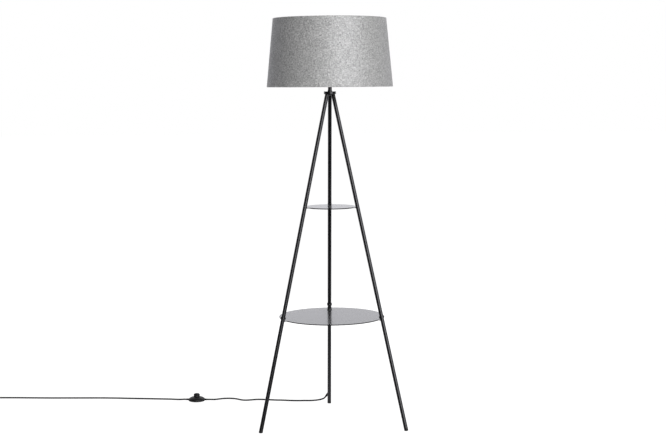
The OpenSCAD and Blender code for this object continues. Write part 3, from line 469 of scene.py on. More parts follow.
# Each grained finish has its two tones, the clouds' millimetres, its least and greatest roughness,
# and the grain's millimetres and depth
MATERIALS = {
    # Enamel stoved on steel: smooth satin black, dark seen square on and a pale mirror at a slant
    "black_paint": grained_finish("black_stove_enamel", ("0b0b0d", "111113"), 30, (0.45, 0.5),
        0.8, 0.01, **{"Specular IOR Level": 0.15, "Coat Weight": 1.0, "Coat Roughness": 0.15,
            "Coat IOR": 1.57}),
    "shade_linen": melange_linen(),
    # Styrene sheet behind the cloth: matt, warm white
    "shade_lining": grained_finish("styrene_lining", ("e0ded6", "e9e7df"), 40, (0.55, 0.65),
        3, 0.05),
    # Lacquered wire: glossy white with a few thick spots
    "white_wire": grained_finish("white_lacquer", ("d8d6cf", "e4e3dd"), 12, (0.25, 0.35), 2, 0.03),
    # Moulded polyamide: black, with a spark-eroded grain
    "black_plastic": grained_finish("moulded_black", ("0e0e0e", "141414"), 9, (0.45, 0.55),
        0.5, 0.03),
    # Extruded PVC: black and smooth, with a waxy gloss
    "cord_sheath": grained_finish("pvc_sheath", ("0c0c0c", "121212"), 20, (0.5, 0.6), 1.5, 0.02,
        **{"Specular IOR Level": 0.3}),
    # Thin PVC round each core: blue and brown run into each other along the pair
    "core_insulation": grained_finish("pvc_cores", ("22397c", "5e3c22"), 4, (0.35, 0.4), 1, 0.01),
    # Glazed porcelain: off-white, with a wet gloss
    "white_ceramic": grained_finish("glazed_porcelain", ("e2e0d8", "ebe9e3"), 15, (0.1, 0.16),
        3, 0.02),
    # Moulded urea: clean white with a soft gloss
    "white_plastic": grained_finish("moulded_white", ("dededa", "e8e8e5"), 15, (0.3, 0.38),
        1, 0.02),
    # Stamped brass: yellow metal, slightly tarnished in patches
    "brass_parts": grained_finish("stamped_brass", ("b9934c", "d2b068"), 6, (0.25, 0.42), 1, 0.02,
        Metallic=1.0),
    # Opal polycarbonate: milky, nearly smooth
    "bulb_diffuser": grained_finish("opal_diffuser", ("ebeae5", "f1f0ec"), 30, (0.3, 0.36),
        2, 0.01),
    # Zinc plate on steel: pale grey metal with dull spots
    "bare_steel": grained_finish("zinc_plate", ("a2a4a3", "bcbebd"), 5, (0.28, 0.42), 0.8, 0.02,
        Metallic=1.0),
    # Cast rubber: dull black with a dusty bloom
    "black_rubber": grained_finish("pad_rubber", ("131313", "1d1d1d"), 6, (0.7, 0.82), 0.6, 0.05),
}

SLOT_OF = {part["node"]: part["material_slot"] for part in frame["record"]["subparts"]}


def dress_nodes():
    """Every CAD node gets the finish of its slot."""
    for name, node in frame["nodes"].items():
        node.data.materials.clear()
        node.data.materials.append(MATERIALS[SLOT_OF[name]])


dress_nodes()


# Geometry trees for what repeats
BEAD_SEED = 7


def geometry_tree(name, sizes):
    """An empty geometry tree with named inputs, and the outputs of its input node."""
    tree = bpy.data.node_groups.new(name, "GeometryNodeTree")
    tree.interface.new_socket("Geometry", in_out="OUTPUT", socket_type="NodeSocketGeometry")
    for label, kind in sizes.items():
        tree.interface.new_socket(label, in_out="INPUT", socket_type="NodeSocket" + kind)
    return tree, tree.nodes.new("NodeGroupInput").outputs


def end_tree(tree, geometry, finish):
    """Realizes and paints what a tree made, and hands it out."""
    real = add_node(tree, "GeometryNodeRealizeInstances", {"Geometry": geometry}).outputs[0]
    paint = {"Geometry": real, "Material": finish}
    painted = add_node(tree, "GeometryNodeSetMaterial", paint).outputs[0]
    add_node(tree, "NodeGroupOutput", {"Geometry": painted})
    return tree


def thread_tree():
    """A ridge wound on a cylinder: a screw thread, or a coil spring's wire."""
    tree, given = geometry_tree("wound_ridge", {"Radius": "Float", "Height": "Float",
        "Pitch": "Float", "Ridge": "Float", "Place": "Vector", "Finish": "Material"})
    rise = {0: given["Height"], 1: given["Pitch"]}
    turns = add_node(tree, "ShaderNodeMath", rise, operation="DIVIDE").outputs[0]
    shape = {"Resolution": 40, "Rotations": turns, "Start Radius": given["Radius"],
        "End Radius": given["Radius"], "Height": given["Height"]}
    spiral = add_node(tree, "GeometryNodeCurveSpiral", shape).outputs[0]
    section = {"Resolution": 8, "Radius": given["Ridge"]}
    wire = add_node(tree, "GeometryNodeCurvePrimitiveCircle", section).outputs[0]
    inputs = {"Curve": spiral, "Profile Curve": wire, "Fill Caps": True}
    ridge = add_node(tree, "GeometryNodeCurveToMesh", inputs).outputs[0]
    move = {"Geometry": ridge, "Translation": given["Place"]}
    placed = add_node(tree, "GeometryNodeTransform", move).outputs[0]
    smooth = add_node(tree, "GeometryNodeSetShadeSmooth", {"Geometry": placed}).outputs[0]
    return end_tree(tree, smooth, given["Finish"])


def rib_tree():
    """Rings in a row along a line, from one radius to another: the ribs of a flexible sleeve."""
    tree, given = geometry_tree("row_of_ribs", {"Start": "Vector", "End": "Vector",
        "Count": "Int", "First Radius": "Float", "Last Radius": "Float", "Ridge": "Float",
        "Finish": "Material"})
    ends = {"Start": given["Start"], "End": given["End"]}
    line = add_node(tree, "GeometryNodeCurvePrimitiveLine", ends).outputs[0]
    places = {"Curve": line, "Count": given["Count"]}
    row = add_node(tree, "GeometryNodeResampleCurve", places).outputs[0]
    share = add_node(tree, "GeometryNodeSplineParameter").outputs["Factor"]
    growth = {"Value": share, "To Min": given["First Radius"], "To Max": given["Last Radius"]}
    radius = add_node(tree, "ShaderNodeMapRange", growth).outputs[0]
    round_line = {"Resolution": 40, "Radius": 1}
    hoop = add_node(tree, "GeometryNodeCurvePrimitiveCircle", round_line).outputs[0]
    ratio = {0: given["Ridge"], 1: given["First Radius"]}
    thick = add_node(tree, "ShaderNodeMath", ratio, operation="DIVIDE").outputs[0]
    thin_line = {"Resolution": 10, "Radius": thick}
    section = add_node(tree, "GeometryNodeCurvePrimitiveCircle", thin_line).outputs[0]
    body = {"Curve": hoop, "Profile Curve": section}
    ring = add_node(tree, "GeometryNodeCurveToMesh", body).outputs[0]
    way = add_node(tree, "GeometryNodeInputTangent").outputs[0]
    turn = add_node(tree, "FunctionNodeAlignRotationToVector", {"Vector": way}, axis="Z").outputs[0]
    inputs = {"Points": row, "Instance": ring, "Rotation": turn, "Scale": radius}
    rings = add_node(tree, "GeometryNodeInstanceOnPoints", inputs).outputs[0]
    smooth = add_node(tree, "GeometryNodeSetShadeSmooth", {"Geometry": rings}).outputs[0]
    return end_tree(tree, smooth, given["Finish"])


def round_tree():
    """Copies of one part turned about an upright axis, the first of them by First Turn."""
    tree, given = geometry_tree("copies_round_an_axis", {"Part": "Object", "Count": "Int",
        "First Turn": "Float", "Place": "Vector", "Finish": "Material"})
    source = {"Object": given["Part"]}
    part = add_node(tree, "GeometryNodeObjectInfo", source).outputs["Geometry"]
    centres = {"Count": given["Count"], "Position": given["Place"]}
    spots = add_node(tree, "GeometryNodePoints", centres).outputs[0]
    circle = {0: 2 * pi, 1: given["Count"]}
    step = add_node(tree, "ShaderNodeMath", circle, operation="DIVIDE").outputs[0]
    number = add_node(tree, "GeometryNodeInputIndex").outputs[0]
    sums = {0: number, 1: step, 2: given["First Turn"]}
    angle = add_node(tree, "ShaderNodeMath", sums, operation="MULTIPLY_ADD").outputs[0]
    turn = add_node(tree, "ShaderNodeCombineXYZ", {"Z": angle}).outputs[0]
    inputs = {"Points": spots, "Instance": part, "Rotation": turn}
    copies = add_node(tree, "GeometryNodeInstanceOnPoints", inputs).outputs[0]
    return end_tree(tree, copies, given["Finish"])


def bead_tree():
    """Overlapping scales along an arc round the Z axis, as weld beads lie round a tube."""
    tree, given = geometry_tree("weld_beads", {"Radius": "Float", "Start": "Float",
        "Sweep": "Float", "Count": "Int", "Bead": "Float", "Place": "Vector", "Lean": "Vector",
        "Finish": "Material"})
    shape = {"Resolution": 32, "Radius": given["Radius"], "Start Angle": given["Start"],
        "Sweep Angle": given["Sweep"]}
    seam = add_node(tree, "GeometryNodeCurveArc", shape).outputs[0]
    places = {"Curve": seam, "Count": given["Count"]}
    row = add_node(tree, "GeometryNodeResampleCurve", places).outputs[0]
    ball = {"Segments": 12, "Rings": 8, "Radius": given["Bead"]}
    bead = add_node(tree, "GeometryNodeMeshUVSphere", ball).outputs[0]
    way = add_node(tree, "GeometryNodeInputTangent").outputs[0]
    turn = add_node(tree, "FunctionNodeAlignRotationToVector", {"Vector": way}, axis="X").outputs[0]
    # Beads are squat, and differ a little in size
    spread = {2: 0.88, 3: 1.12, "Seed": BEAD_SEED}
    size = add_node(tree, "FunctionNodeRandomValue", spread, data_type="FLOAT").outputs[1]
    form = {0: (0.7, 1, 0.8), "Scale": size}
    squat = add_node(tree, "ShaderNodeVectorMath", form, operation="SCALE").outputs[0]
    inputs = {"Points": row, "Instance": bead, "Rotation": turn, "Scale": squat}
    beads = add_node(tree, "GeometryNodeInstanceOnPoints", inputs).outputs[0]
    move = {"Geometry": beads, "Translation": given["Place"], "Rotation": given["Lean"]}
    placed = add_node(tree, "GeometryNodeTransform", move).outputs[0]
    smooth = add_node(tree, "GeometryNodeSetShadeSmooth", {"Geometry": placed}).outputs[0]
    return end_tree(tree, smooth, given["Finish"])


def grow(name, tree, **values):
    """Runs a geometry tree once and keeps its result as a plain mesh."""
    piece = link(name, bpy.data.meshes.new(name + "_carrier"))
    tool = piece.modifiers.new("grow", "NODES")
    tool.node_group = tree
    for item in tree.interface.items_tree:
        label = item.name.replace(" ", "_")
        if item.in_out == "INPUT" and label in values:
            tool[item.identifier] = values[label]
    ready = piece.evaluated_get(bpy.context.evaluated_depsgraph_get())
    result = bpy.data.meshes.new_from_object(ready)
    piece.modifiers.remove(tool)
    piece.data = result
    return piece


THREAD = thread_tree()
RIBS = rib_tree()
ROUND = round_tree()
BEADS = bead_tree()


# The shade: a cone of cloth on a stiff lining, with both edges rolled over a wire ring
HALF_ANGLE = atan2(SHADE_BOTTOM_R - SHADE_TOP_R, SHADE_H)
HEM_R = 0.0025
# How far the cloth's tucked edge lies inside the cover's face, and from the shade's end
TUCK_IN = 0.00125
TUCK_Z = 0.0060
LAP_HALF = 0.006
LAP_T = 0.0005


def shade_r(z):
    """The cover's outside radius at a height above the shade's bottom edge."""
    return SHADE_BOTTOM_R - (SHADE_BOTTOM_R - SHADE_TOP_R) * z / SHADE_H


def cloth_place(turn, slant):
    """The place on the flat cut cloth: the cone unrolled about its apex, upright in front."""
    return slant * sin(turn * sin(HALF_ANGLE)), slant * cos(turn * sin(HALF_ANGLE))


def make_shade_cover():
    """The cloth's outside from one tucked edge to the other, and its own place on the flat cut."""
    around = 256
    rows = 24
    # The cloth rolls over each wire through this many degrees, from where it leaves the cone
    roll = 255
    lean = 5
    hem_steps = 17
    low_centre = (shade_r(HEM_R) - HEM_R, HEM_R)
    high_centre = (shade_r(SHADE_H - HEM_R) - HEM_R, SHADE_H - HEM_R)
    wall = [HEM_R + (SHADE_H - 2 * HEM_R) * k / rows for k in range(rows + 1)]
    outline = [(shade_r(TUCK_Z) - TUCK_IN, TUCK_Z)]
    outline += arc(low_centre, HEM_R, 360 - lean - roll, 360 - lean, hem_steps)
    bottom = len(outline)
    outline += [(shade_r(z), z) for z in wall]
    outline += arc(high_centre, HEM_R, lean, lean + roll, hem_steps)
    outline += [(shade_r(SHADE_H - TUCK_Z) - TUCK_IN, SHADE_H - TUCK_Z)]
    lengths = [0.0]
    for a, b in zip(outline, outline[1:]):
        lengths.append(lengths[-1] + hypot(b[0] - a[0], b[1] - a[1]))
    slants = [shade_r(HEM_R) / sin(HALF_ANGLE) + lengths[bottom] - length for length in lengths]
    verts, faces = [], []
    for radius, z in outline:
        for k in range(around):
            verts.append(AXIS + turned((0, radius, SHADE_Z + z), 2 * pi * k / around))
    for i in range(len(outline) - 1):
        low, high = i * around, (i + 1) * around
        for k in range(around):
            m = (k + 1) % around
            faces.append((low + k, low + m, high + m, high + k))
    cover = mesh_piece("shade_cover", verts, faces)
    uv = cover.data.uv_layers.new(name="cloth")
    for n, face in enumerate(cover.data.polygons):
        i, k = divmod(n, around)
        corners = [(k, i), (k + 1, i), (k + 1, i + 1), (k, i + 1)]
        for corner, (step, row) in zip(face.loop_indices, corners):
            uv.data[corner].uv = cloth_place(2 * pi * step / around - pi, slants[row])
    return finish_piece(cover, "shade_linen", replaces=["shade_fabric"])


def make_shade_lap():
    """The cloth's end is glued over its beginning in one upright lap down the back."""
    section = [(-1, -0.0003), (-1, 0.0001), (-0.94, LAP_T), (0.94, LAP_T), (1, 0.0001),
        (1, -0.0003)]
    end = 0.0012
    verts, places, rings = [], [], []
    for z in (end, SHADE_H - end):
        rings.append(range(len(verts), len(verts) + len(section)))
        for share, lift in section:
            turn = share * LAP_HALF / shade_r(z)
            verts.append(AXIS + turned((0, shade_r(z) + lift, SHADE_Z + z), turn))
            places.append(cloth_place(turn - pi, shade_r(z) / sin(HALF_ANGLE)))
    faces = between_rings(rings) + [tuple(rings[0])[::-1], tuple(rings[1])]
    lap = mesh_piece("shade_lap", verts, faces)
    uv = lap.data.uv_layers.new(name="cloth")
    for loop in lap.data.loops:
        uv.data[loop.index].uv = places[loop.vertex_index]
    return finish_piece(sharpen(lap), "shade_linen")


def make_shade_lining():
    low, high = 0.003, SHADE_H - 0.003
    inside, outside = 0.0013, 0.0009
    outline = [(shade_r(low) - inside, low), (shade_r(low) - outside, low)]
    outline += [(shade_r(high) - outside, high), (shade_r(high) - inside, high)]
    lining = lathe("shade_lining", outline, AXIS + Vector((0, 0, SHADE_Z)), around=192)
    return finish_piece(lining, "shade_lining", replaces=["shade_liner"])


cover = make_shade_cover()
lap = make_shade_lap()
make_shade_lining()


# The bulb and what can be seen of the lampholder
def make_bulb():
    low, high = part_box("bulb_globe")
    ball_r = (high.x - low.x) / 2
    ball_z = high.z - ball_r
    start = degrees(asin((low.z - ball_z) / ball_r))
    globe = [(0, low.z)] + arc((0, ball_z), ball_r, start, 90, 20)[:-1] + [(0, high.z)]
    finish_piece(lathe("bulb_ball", globe, AXIS), "bulb_diffuser", replaces=["bulb_globe"])
    # The base flares from the screw cap to the globe in a soft S, whose turn sits low
    base_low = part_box("bulb_base")[0].z
    base_h = low.z - base_low
    cap_r = 0.0134
    edge_r = ball_r * 0.9
    ease = 1.4
    steps = 12
    base = [(0, base_low)]
    for t in [k / steps for k in range(steps + 1)]:
        flare = (t ** ease) ** 2 * (3 - 2 * t ** ease)
        base.append((cap_r + (edge_r - cap_r) * flare, base_low + base_h * t))
    base.append((0, low.z))
    finish_piece(lathe("bulb_neck", base, AXIS), "white_plastic", replaces=["bulb_base"])


def make_holder_trim():
    """The skirt's thread above the ring nut, and the nut's grip ribs."""
    nut_low, nut_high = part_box("lampholder_ring")
    skirt_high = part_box("lampholder_body")[1]
    holder_r = 0.0195
    start = nut_high.z + 0.001
    thread = grow(
        "holder_thread", THREAD, Radius=holder_r, Height=skirt_high.z - 0.002 - start,
        Pitch=0.0025, Ridge=0.0006, Place=AXIS + Vector((0, 0, start)),
        Finish=MATERIALS["black_plastic"],
    )
    finish_piece(thread, "black_plastic")
    nut_r = (nut_high.x - nut_low.x) / 2
    nut_h = nut_high.z - nut_low.z
    rib_r = 0.0007
    rib_end = 0.0006
    rib = [(0, rib_end), (rib_r, 2 * rib_end), (rib_r, nut_h - 2 * rib_end), (0, nut_h - rib_end)]
    grip = lathe("grip_rib", rib, Vector((nut_r - 0.0001, 0, nut_low.z)), around=10)
    ribs = grow("nut_grip", ROUND, Part=grip, Count=28, Place=AXIS,
        Finish=MATERIALS["black_plastic"])
    finish_piece(ribs, "black_plastic")
    drop(grip)


make_bulb()
make_holder_trim()


# Screws with a hexagon socket, and the welds at the shelves' tabs
HUB_SCREW_IN = 0.0065
FIT = 0.00005


def make_screws():
    head = [(0, -0.0065), (0.0015, -0.0065), (0.0015, -0.0014), (0.0029, 0), (0.0013, 0, 6),
        (0.0012, -0.0011, 6), (0, -0.0013)]
    head_at = Vector((HUB_D / 2 - HUB_SCREW_IN, 0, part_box("hub_lid")[1].z))
    screw = lathe("hub_screw", head, head_at, around=24)
    heads = grow(
        "hub_screw_heads", ROUND, Part=screw, Count=3, First_Turn=radians(30), Place=AXIS,
        Finish=MATERIALS["black_paint"],
    )
    finish_piece(heads, "black_paint", replaces=["hub_screws"])
    drop(screw)
    body = [(0, 0), (0.0013, 0), (0.0015, 0.0002), (0.0015, 0.0019), (0.0013, 0.0021),
        (0.0008, 0.0021, 6), (0.0008, 0.0008, 6), (0, 0.0007)]
    grub_up = (LOWER_SHELF_Z + COUPLER_RISE) / cos(LEG_TILT) + COUPLER_H - SOCKET_DEPTH / 2
    grub_at = on_leg((-LEG_D / 2 - FIT, 0, grub_up), 0) - AXIS
    inwards = Vector((-cos(LEG_TILT), 0, -sin(LEG_TILT)))
    grub = lathe("grub", body, grub_at, axis=inwards, around=24)
    grubs = grow(
        "coupler_grubs", ROUND, Part=grub, Count=3, First_Turn=REAR_LEG, Place=AXIS,
        Finish=MATERIALS["bare_steel"],
    )
    finish_piece(grubs, "bare_steel", replaces=["coupler_screws"])
    drop(grub)


def make_welds():
    """A row of beads over and under each tab, on the half of the tube that faces the shelf."""
    for name, level in (("lower", LOWER_SHELF_Z), ("upper", UPPER_SHELF_Z)):
        for side, down in (("top", 0.0003), ("under", 0.0020)):
            z = level - down
            row = grow(
                "bead_row", BEADS, Radius=LEG_D / 2 + 0.0005, Start=radians(112),
                Sweep=radians(136), Count=16, Bead=0.0011,
                Place=Vector((FOOT_CIRCLE_R - z * tan(LEG_TILT), 0, z)),
                Finish=MATERIALS["black_paint"],
            )
            weld = grow(
                f"{name}_shelf_weld_{side}", ROUND, Part=row, Count=3, First_Turn=REAR_LEG,
                Place=AXIS, Finish=MATERIALS["black_paint"],
            )
            finish_piece(weld, "black_paint")
            drop(row)


make_screws()
make_welds()


# What is on the cords
def sleeve(name, start, way, length, radii, ribs):
    """A ribbed sleeve round the cord: a tapered tube with rings moulded on it."""
    bore = CORD_D / 2 + 0.00003
    root = -0.0060
    core = [(radii[0], root), (radii[0], 0), (radii[1], length), (bore, length), (bore, root)]
    tube = lathe(name, core, start, axis=way, around=40)
    rings = grow(
        name + "_ribs", RIBS, Start=start + way * 0.0012, End=start + way * (length - 0.0008),
        Count=ribs, First_Radius=radii[0], Last_Radius=radii[1], Ridge=0.0005,
        Finish=MATERIALS["black_plastic"],
    )
    return tube, rings


def make_switch_shell():
    """The coned cover: an upright skirt, a bulging slope, and a lip round the button's hole."""
    skirt = 0.0070
    wall = 0.0020
    bulge = 1.35
    flat_r = SWITCH_TOP_D / 2
    slope = SWITCH_R - flat_r
    rise = SWITCH_H - skirt
    hole = BUTTON_R + 0.0003
    lip_z = SWITCH_H + 0.0006
    turns = [(cos(radians(a)) ** bulge, sin(radians(a)) ** bulge) for a in range(0, 91, 5)]
    profile = [(SWITCH_R - wall, 0.0015), (SWITCH_R - 0.0006, 0.0015), (SWITCH_R, 0.0022)]
    profile += [(flat_r + slope * c, skirt + rise * s) for c, s in turns]
    profile += [(hole + 0.0022, SWITCH_H), (hole + 0.0014, lip_z), (hole + 0.0004, lip_z)]
    profile += [(hole, SWITCH_H + 0.0002), (hole, SWITCH_H - wall)]
    profile += [(flat_r + (slope - wall) * c, skirt + (rise - wall) * s) for c, s in turns[::-2]]
    shell = lathe("switch_shell", profile, SWITCH.copy())
    return finish_piece(shell, "black_plastic", replaces=["switch_cover"])


def make_switch_cap():
    """The domed button, hollow underneath, with a post that the spring goes round."""
    low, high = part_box("switch_button")
    dome = 0.0060
    post_r, post_z = 0.0024, low.z + 0.0030
    hollow_r, hollow_z = BUTTON_R - 0.0048, low.z + 0.0120
    profile = [(0, post_z), (post_r, post_z), (post_r, hollow_z), (hollow_r, hollow_z)]
    profile += [(hollow_r, low.z), (BUTTON_R, low.z)]
    for a in [radians(degree) for degree in range(0, 91, 6)]:
        profile.append((BUTTON_R * cos(a) ** 0.7, high.z - dome + dome * sin(a)))
    cap = lathe("switch_cap", profile, SWITCH.copy(), angle=50)
    return finish_piece(cap, "black_plastic", body="button", replaces=["switch_button"])


def make_switch_glands():
    made = []
    for label, sign in (("right", 1), ("left", -1)):
        start = SWITCH + turned((sign * (SWITCH_R - 0.0005), 0, GLAND_Z), SWITCH_TURN)
        way = turned((sign, 0, 0), SWITCH_TURN)
        tube, rings = sleeve(
            "gland_" + label, start, way, GLAND_OUT + 0.0005, (0.0036, 0.0033), 6
        )
        made.append(finish_piece(tube, "black_plastic", replaces=["switch_glands"]))
        made.append(finish_piece(rings, "black_plastic"))
    return made


def make_switch_spring():
    """A wound spring on the contact block."""
    low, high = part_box("switch_spring")
    wire = 0.0005
    tall = high.z - low.z
    spring = grow(
        "button_spring", THREAD, Radius=0.0038, Height=tall - 2 * wire, Pitch=0.0021,
        Ridge=wire, Place=Vector((SWITCH.x, SWITCH.y, low.z + wire)),
        Finish=MATERIALS["bare_steel"],
    )
    finish_piece(spring, "bare_steel", replaces=["switch_spring"])
    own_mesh(spring)
    return spring


def make_plug():
    """A moulded plug for two round pins: a ribbed relief, a waisted grip and a wide face."""
    onto = Matrix.Translation(PLUG_TIP) @ Matrix.Rotation(pi / 2, 4, "X")
    sections = [(0.0235, 0.0049, 0.0049, 2), (0.0240, 0.0066, 0.0056, 2.2),
        (0.0262, 0.0071, 0.0067, 2.6), (0.0300, 0.0074, 0.0069, 3), (0.0362, 0.0082, 0.0069, 3.2),
        (0.0405, 0.0105, 0.0069, 3.6), (0.0450, 0.0128, 0.0069, 4), (0.0570, 0.0130, 0.0069, 4),
        (0.0584, 0.0126, 0.0065, 4), (0.0590, 0.0118, 0.0058, 4)]
    body = place_mesh(loft("plug_grip", sections, Vector()), onto)
    made = [finish_piece(body, "black_plastic", replaces=["plug_body"])]
    collar = [(0.00157, 0.051), (0.00195, 0.051), (0.00195, 0.0688), (0.00185, 0.0690),
        (0.00157, 0.0690)]
    for label, across in (("left", -PIN_GAP / 2), ("right", PIN_GAP / 2)):
        pin = lathe("pin_sleeve_" + label, collar, Vector((across, 0, 0)), around=24)
        made.append(finish_piece(place_mesh(pin, onto), "black_plastic"))
    for part in sleeve("plug_relief", PLUG_TIP, Vector((0, -1, 0)), 0.0240, (0.0039, 0.0048), 11):
        made.append(finish_piece(part, "black_plastic"))
    return made


def make_tie():
    """A nylon strap drawn round the turns, with its locking head on top."""
    slack = 0.0007
    low = COIL_OUTER_R - 2 * COIL_PITCH - CORD_D / 2 - slack
    high = COIL_OUTER_R + CORD_D / 2 + slack
    top = COIL_Z + COIL_PITCH + CORD_D / 2 + 0.0002
    half_w = 0.003
    bend = 0.0022
    loop = []
    for x, z, start in ((high - bend, bend, -90), (high - bend, top - bend, 0),
            (low + bend, top - bend, 90), (low + bend, bend, 180)):
        loop += [(x, z, radians(start + 15 * k)) for k in range(7)]
    section = ((bend, -half_w), (bend + STRAP_T, -half_w), (bend + STRAP_T, half_w),
        (bend, half_w))
    verts, rings = [], []
    for x, z, a in loop:
        rings.append(range(len(verts), len(verts) + len(section)))
        for out, side in section:
            point = (x + out * cos(a), side, z + STRAP_T + out * sin(a))
            verts.append(COIL + turned(point, -pi / 2))
    strap = sharpen(mesh_piece("cord_strap", verts, between_rings(rings + rings[:1])))
    finish_piece(strap, "black_plastic", replaces=["cord_tie"])
    head_at = COIL + turned(((low + high) / 2, 0, top + STRAP_T), -pi / 2)
    steps = [(0, 0.0036, 0.0028, 6), (0.0002, 0.0040, 0.0032, 6), (0.0028, 0.0040, 0.0032, 6),
        (0.0032, 0.0035, 0.0027, 6)]
    head = finish_piece(loft("cord_strap_head", steps, head_at, around=40), "black_plastic")
    return [strap, head]


relief = sleeve("leg_relief", CORD_EXIT, EXIT_DIR, RELIEF_L, (0.0040, 0.0035), 9)
finish_piece(relief[0], "black_plastic", replaces=["cord_relief"])
finish_piece(relief[1], "black_plastic")
switch_pieces = [make_switch_shell(), make_switch_cap(), *make_switch_glands()]
switch_pieces.append(make_switch_spring())
plug_pieces = make_plug()
tie_pieces = make_tie()
finish_piece(front_cord, "cord_sheath", replaces=["cord_leg_to_switch"])
finish_piece(
    supply_cord, "cord_sheath", replaces=["cord_switch_to_coil", "cord_coil", "cord_coil_to_plug"]
)


# Studio: a white floor that meets a white backdrop, a tall soft box to the right of the camera,
# one behind the lamp, and fill
WHITE = (1, 1, 1, 1)
FLOOR_HALF = 30
FLOOR_Z = -0.0005
FLOOR_GREY = 0.8
# The camera sees a weaker paint over a white glow, so that the floor stays white with faint shadows
FLOOR_SHOWN = 0.2
FLOOR_LIFT = 0.985
# What gloss reflects: a room that is dark on the camera's side and white behind the lamp. It turns
# between these depths on the floor, in metres, and between these directions beyond it
ROOM_FRONT = 0.05
ROOM_TINT = "fafaff"
ROOM_TURN_FLOOR = (-0.5, 1.0)
ROOM_TURN_WALL = (0.05, 0.8)
# The key light as gloss sees it: a pale panel that fades out between these angles from its middle,
# dim enough for a shelf to show it and not burn out
PANEL = 3.2
PANEL_WAY = (0.46, -0.85, 0.25)
PANEL_FADE = (cos(radians(36)), cos(radians(16)))
# Soft fill for the matt surfaces, most of it from behind and above, where the soft boxes don't
# reach, and the directions between which each part of it sets in
FILL = 0.01
FILL_BACK = 0.6
FILL_BACK_FROM = (0.55, 0.8)
FILL_TOP = 0.35
FILL_TOP_FROM = (0.75, 0.9)
# Both soft boxes: their distance, height and the height that they aim at, and their own size
BOX_DISTANCE = 3.0
BOX_Z = 1.7
BOX_AIM_Z = 1.3
BOX_W = 1.3
BOX_H = 2.4


def grey(level):
    return (level, level, level, 1)


def make_floor():
    corners = [(-1, -1), (1, -1), (1, 1), (-1, 1)]
    verts = [(x * FLOOR_HALF, y * FLOOR_HALF, FLOOR_Z) for x, y in corners]
    floor = mesh_piece("studio_floor", verts, [(0, 1, 2, 3)], smooth=False)
    material, tree = new_material("white_floor")
    rays = add_node(tree, "ShaderNodeLightPath").outputs
    sight = {0: rays["Is Camera Ray"], 1: rays["Is Transmission Ray"]}
    seen = add_node(tree, "ShaderNodeMath", sight, operation="MAXIMUM").outputs[0]
    paint = add_node(tree, "ShaderNodeBsdfDiffuse", {"Color": grey(FLOOR_GREY)}).outputs[0]
    lift = add_node(tree, "ShaderNodeEmission", {"Strength": FLOOR_LIFT}).outputs[0]
    shown = add_node(tree, "ShaderNodeBsdfDiffuse", {"Color": grey(FLOOR_SHOWN)}).outputs[0]
    bright = add_node(tree, "ShaderNodeAddShader", {0: shown, 1: lift}).outputs[0]
    spot = add_node(tree, "ShaderNodeTexCoord").outputs["Object"]
    parts = add_node(tree, "ShaderNodeSeparateXYZ", {"Vector": spot}).outputs
    depth = {"Value": parts[1], "From Min": ROOM_TURN_FLOOR[0], "From Max": ROOM_TURN_FLOOR[1],
        "To Min": ROOM_FRONT, "To Max": 1}
    level = add_node(tree, "ShaderNodeMapRange", depth).outputs[0]
    room = {"Color": linear(ROOM_TINT), "Strength": level}
    mirrored = add_node(tree, "ShaderNodeEmission", room).outputs[0]
    lit = add_node(tree, "ShaderNodeMixShader", {0: seen, 1: paint, 2: bright}).outputs[0]
    sides = {0: rays["Is Glossy Ray"], 1: lit, 2: mirrored}
    both = add_node(tree, "ShaderNodeMixShader", sides).outputs[0]
    add_node(tree, "ShaderNodeOutputMaterial", {"Surface": both})
    floor.data.materials.append(material)


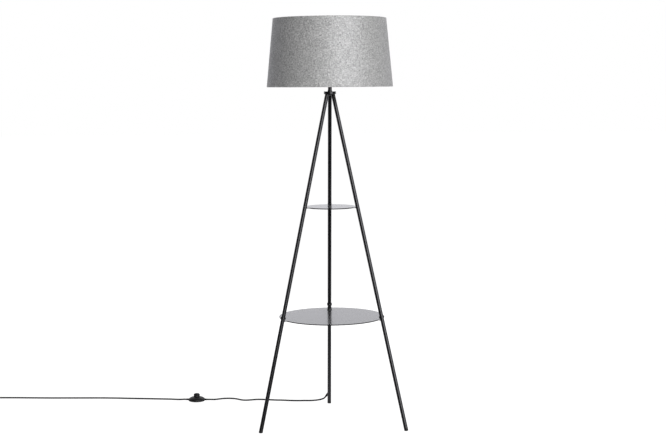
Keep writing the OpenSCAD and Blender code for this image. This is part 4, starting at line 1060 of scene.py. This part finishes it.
def make_world():
    world = bpy.data.worlds.new("studio")
    world.use_nodes = True
    bpy.context.scene.world = world
    tree = world.node_tree
    tree.nodes.clear()
    rays = add_node(tree, "ShaderNodeLightPath").outputs
    sight = {0: rays["Is Camera Ray"], 1: rays["Is Transmission Ray"]}
    seen = add_node(tree, "ShaderNodeMath", sight, operation="MAXIMUM").outputs[0]
    way = add_node(tree, "ShaderNodeTexCoord").outputs["Generated"]
    parts = add_node(tree, "ShaderNodeSeparateXYZ", {"Vector": way}).outputs
    # What gloss reflects
    depth = {"Value": parts[1], "From Min": ROOM_TURN_WALL[0], "From Max": ROOM_TURN_WALL[1],
        "To Min": ROOM_FRONT, "To Max": 1}
    backdrop = add_node(tree, "ShaderNodeMapRange", depth).outputs[0]
    aim = {0: way, 1: PANEL_WAY}
    facing = add_node(tree, "ShaderNodeVectorMath", aim, operation="DOT_PRODUCT").outputs["Value"]
    edge = {"Value": facing, "From Min": PANEL_FADE[0], "From Max": PANEL_FADE[1],
        "To Max": PANEL}
    panel = add_node(tree, "ShaderNodeMapRange", edge).outputs[0]
    room = {0: backdrop, 1: panel}
    mirrored = add_node(tree, "ShaderNodeMath", room, operation="ADD").outputs[0]
    # What lights the matt surfaces
    rear = {"Value": parts[1], "From Min": FILL_BACK_FROM[0], "From Max": FILL_BACK_FROM[1],
        "To Min": FILL, "To Max": FILL_BACK}
    behind = add_node(tree, "ShaderNodeMapRange", rear).outputs[0]
    sky = {"Value": parts[2], "From Min": FILL_TOP_FROM[0], "From Max": FILL_TOP_FROM[1],
        "To Max": FILL_TOP}
    above = add_node(tree, "ShaderNodeMapRange", sky).outputs[0]
    fill = add_node(tree, "ShaderNodeMath", {0: behind, 1: above}, operation="ADD").outputs[0]
    unseen = {0: rays["Is Glossy Ray"], 2: fill, 3: mirrored}
    dark = add_node(tree, "ShaderNodeMix", unseen).outputs[0]
    level = add_node(tree, "ShaderNodeMix", {0: seen, 2: dark, 3: 1}).outputs[0]
    tints = {0: seen, 6: linear(ROOM_TINT), 7: WHITE}
    tint = add_node(tree, "ShaderNodeMix", tints, data_type="RGBA").outputs[2]
    light = add_node(tree, "ShaderNodeBackground", {"Color": tint, "Strength": level}).outputs[0]
    add_node(tree, "ShaderNodeOutputWorld", {"Surface": light})


def soft_box(name, azimuth, watts):
    """A soft box on a plan round the lamp: azimuth 0 is the camera's side, and 90 its right."""
    data = bpy.data.lights.new(name, "AREA")
    data.shape = "RECTANGLE"
    data.size = BOX_W
    data.size_y = BOX_H
    data.energy = watts
    box = link(name, data)
    place = AXIS + turned((0, -BOX_DISTANCE, BOX_Z), radians(azimuth))
    look = AXIS + Vector((0, 0, BOX_AIM_Z)) - place
    turn = look.to_track_quat("-Z", "Y").to_matrix().to_4x4()
    box.matrix_world = Matrix.Translation(place) @ turn
    # Gloss sees the world's panel in its place
    box.visible_glossy = False


make_floor()
make_world()
soft_box("key_box", 18, 86)
soft_box("rear_box", 180, 60)
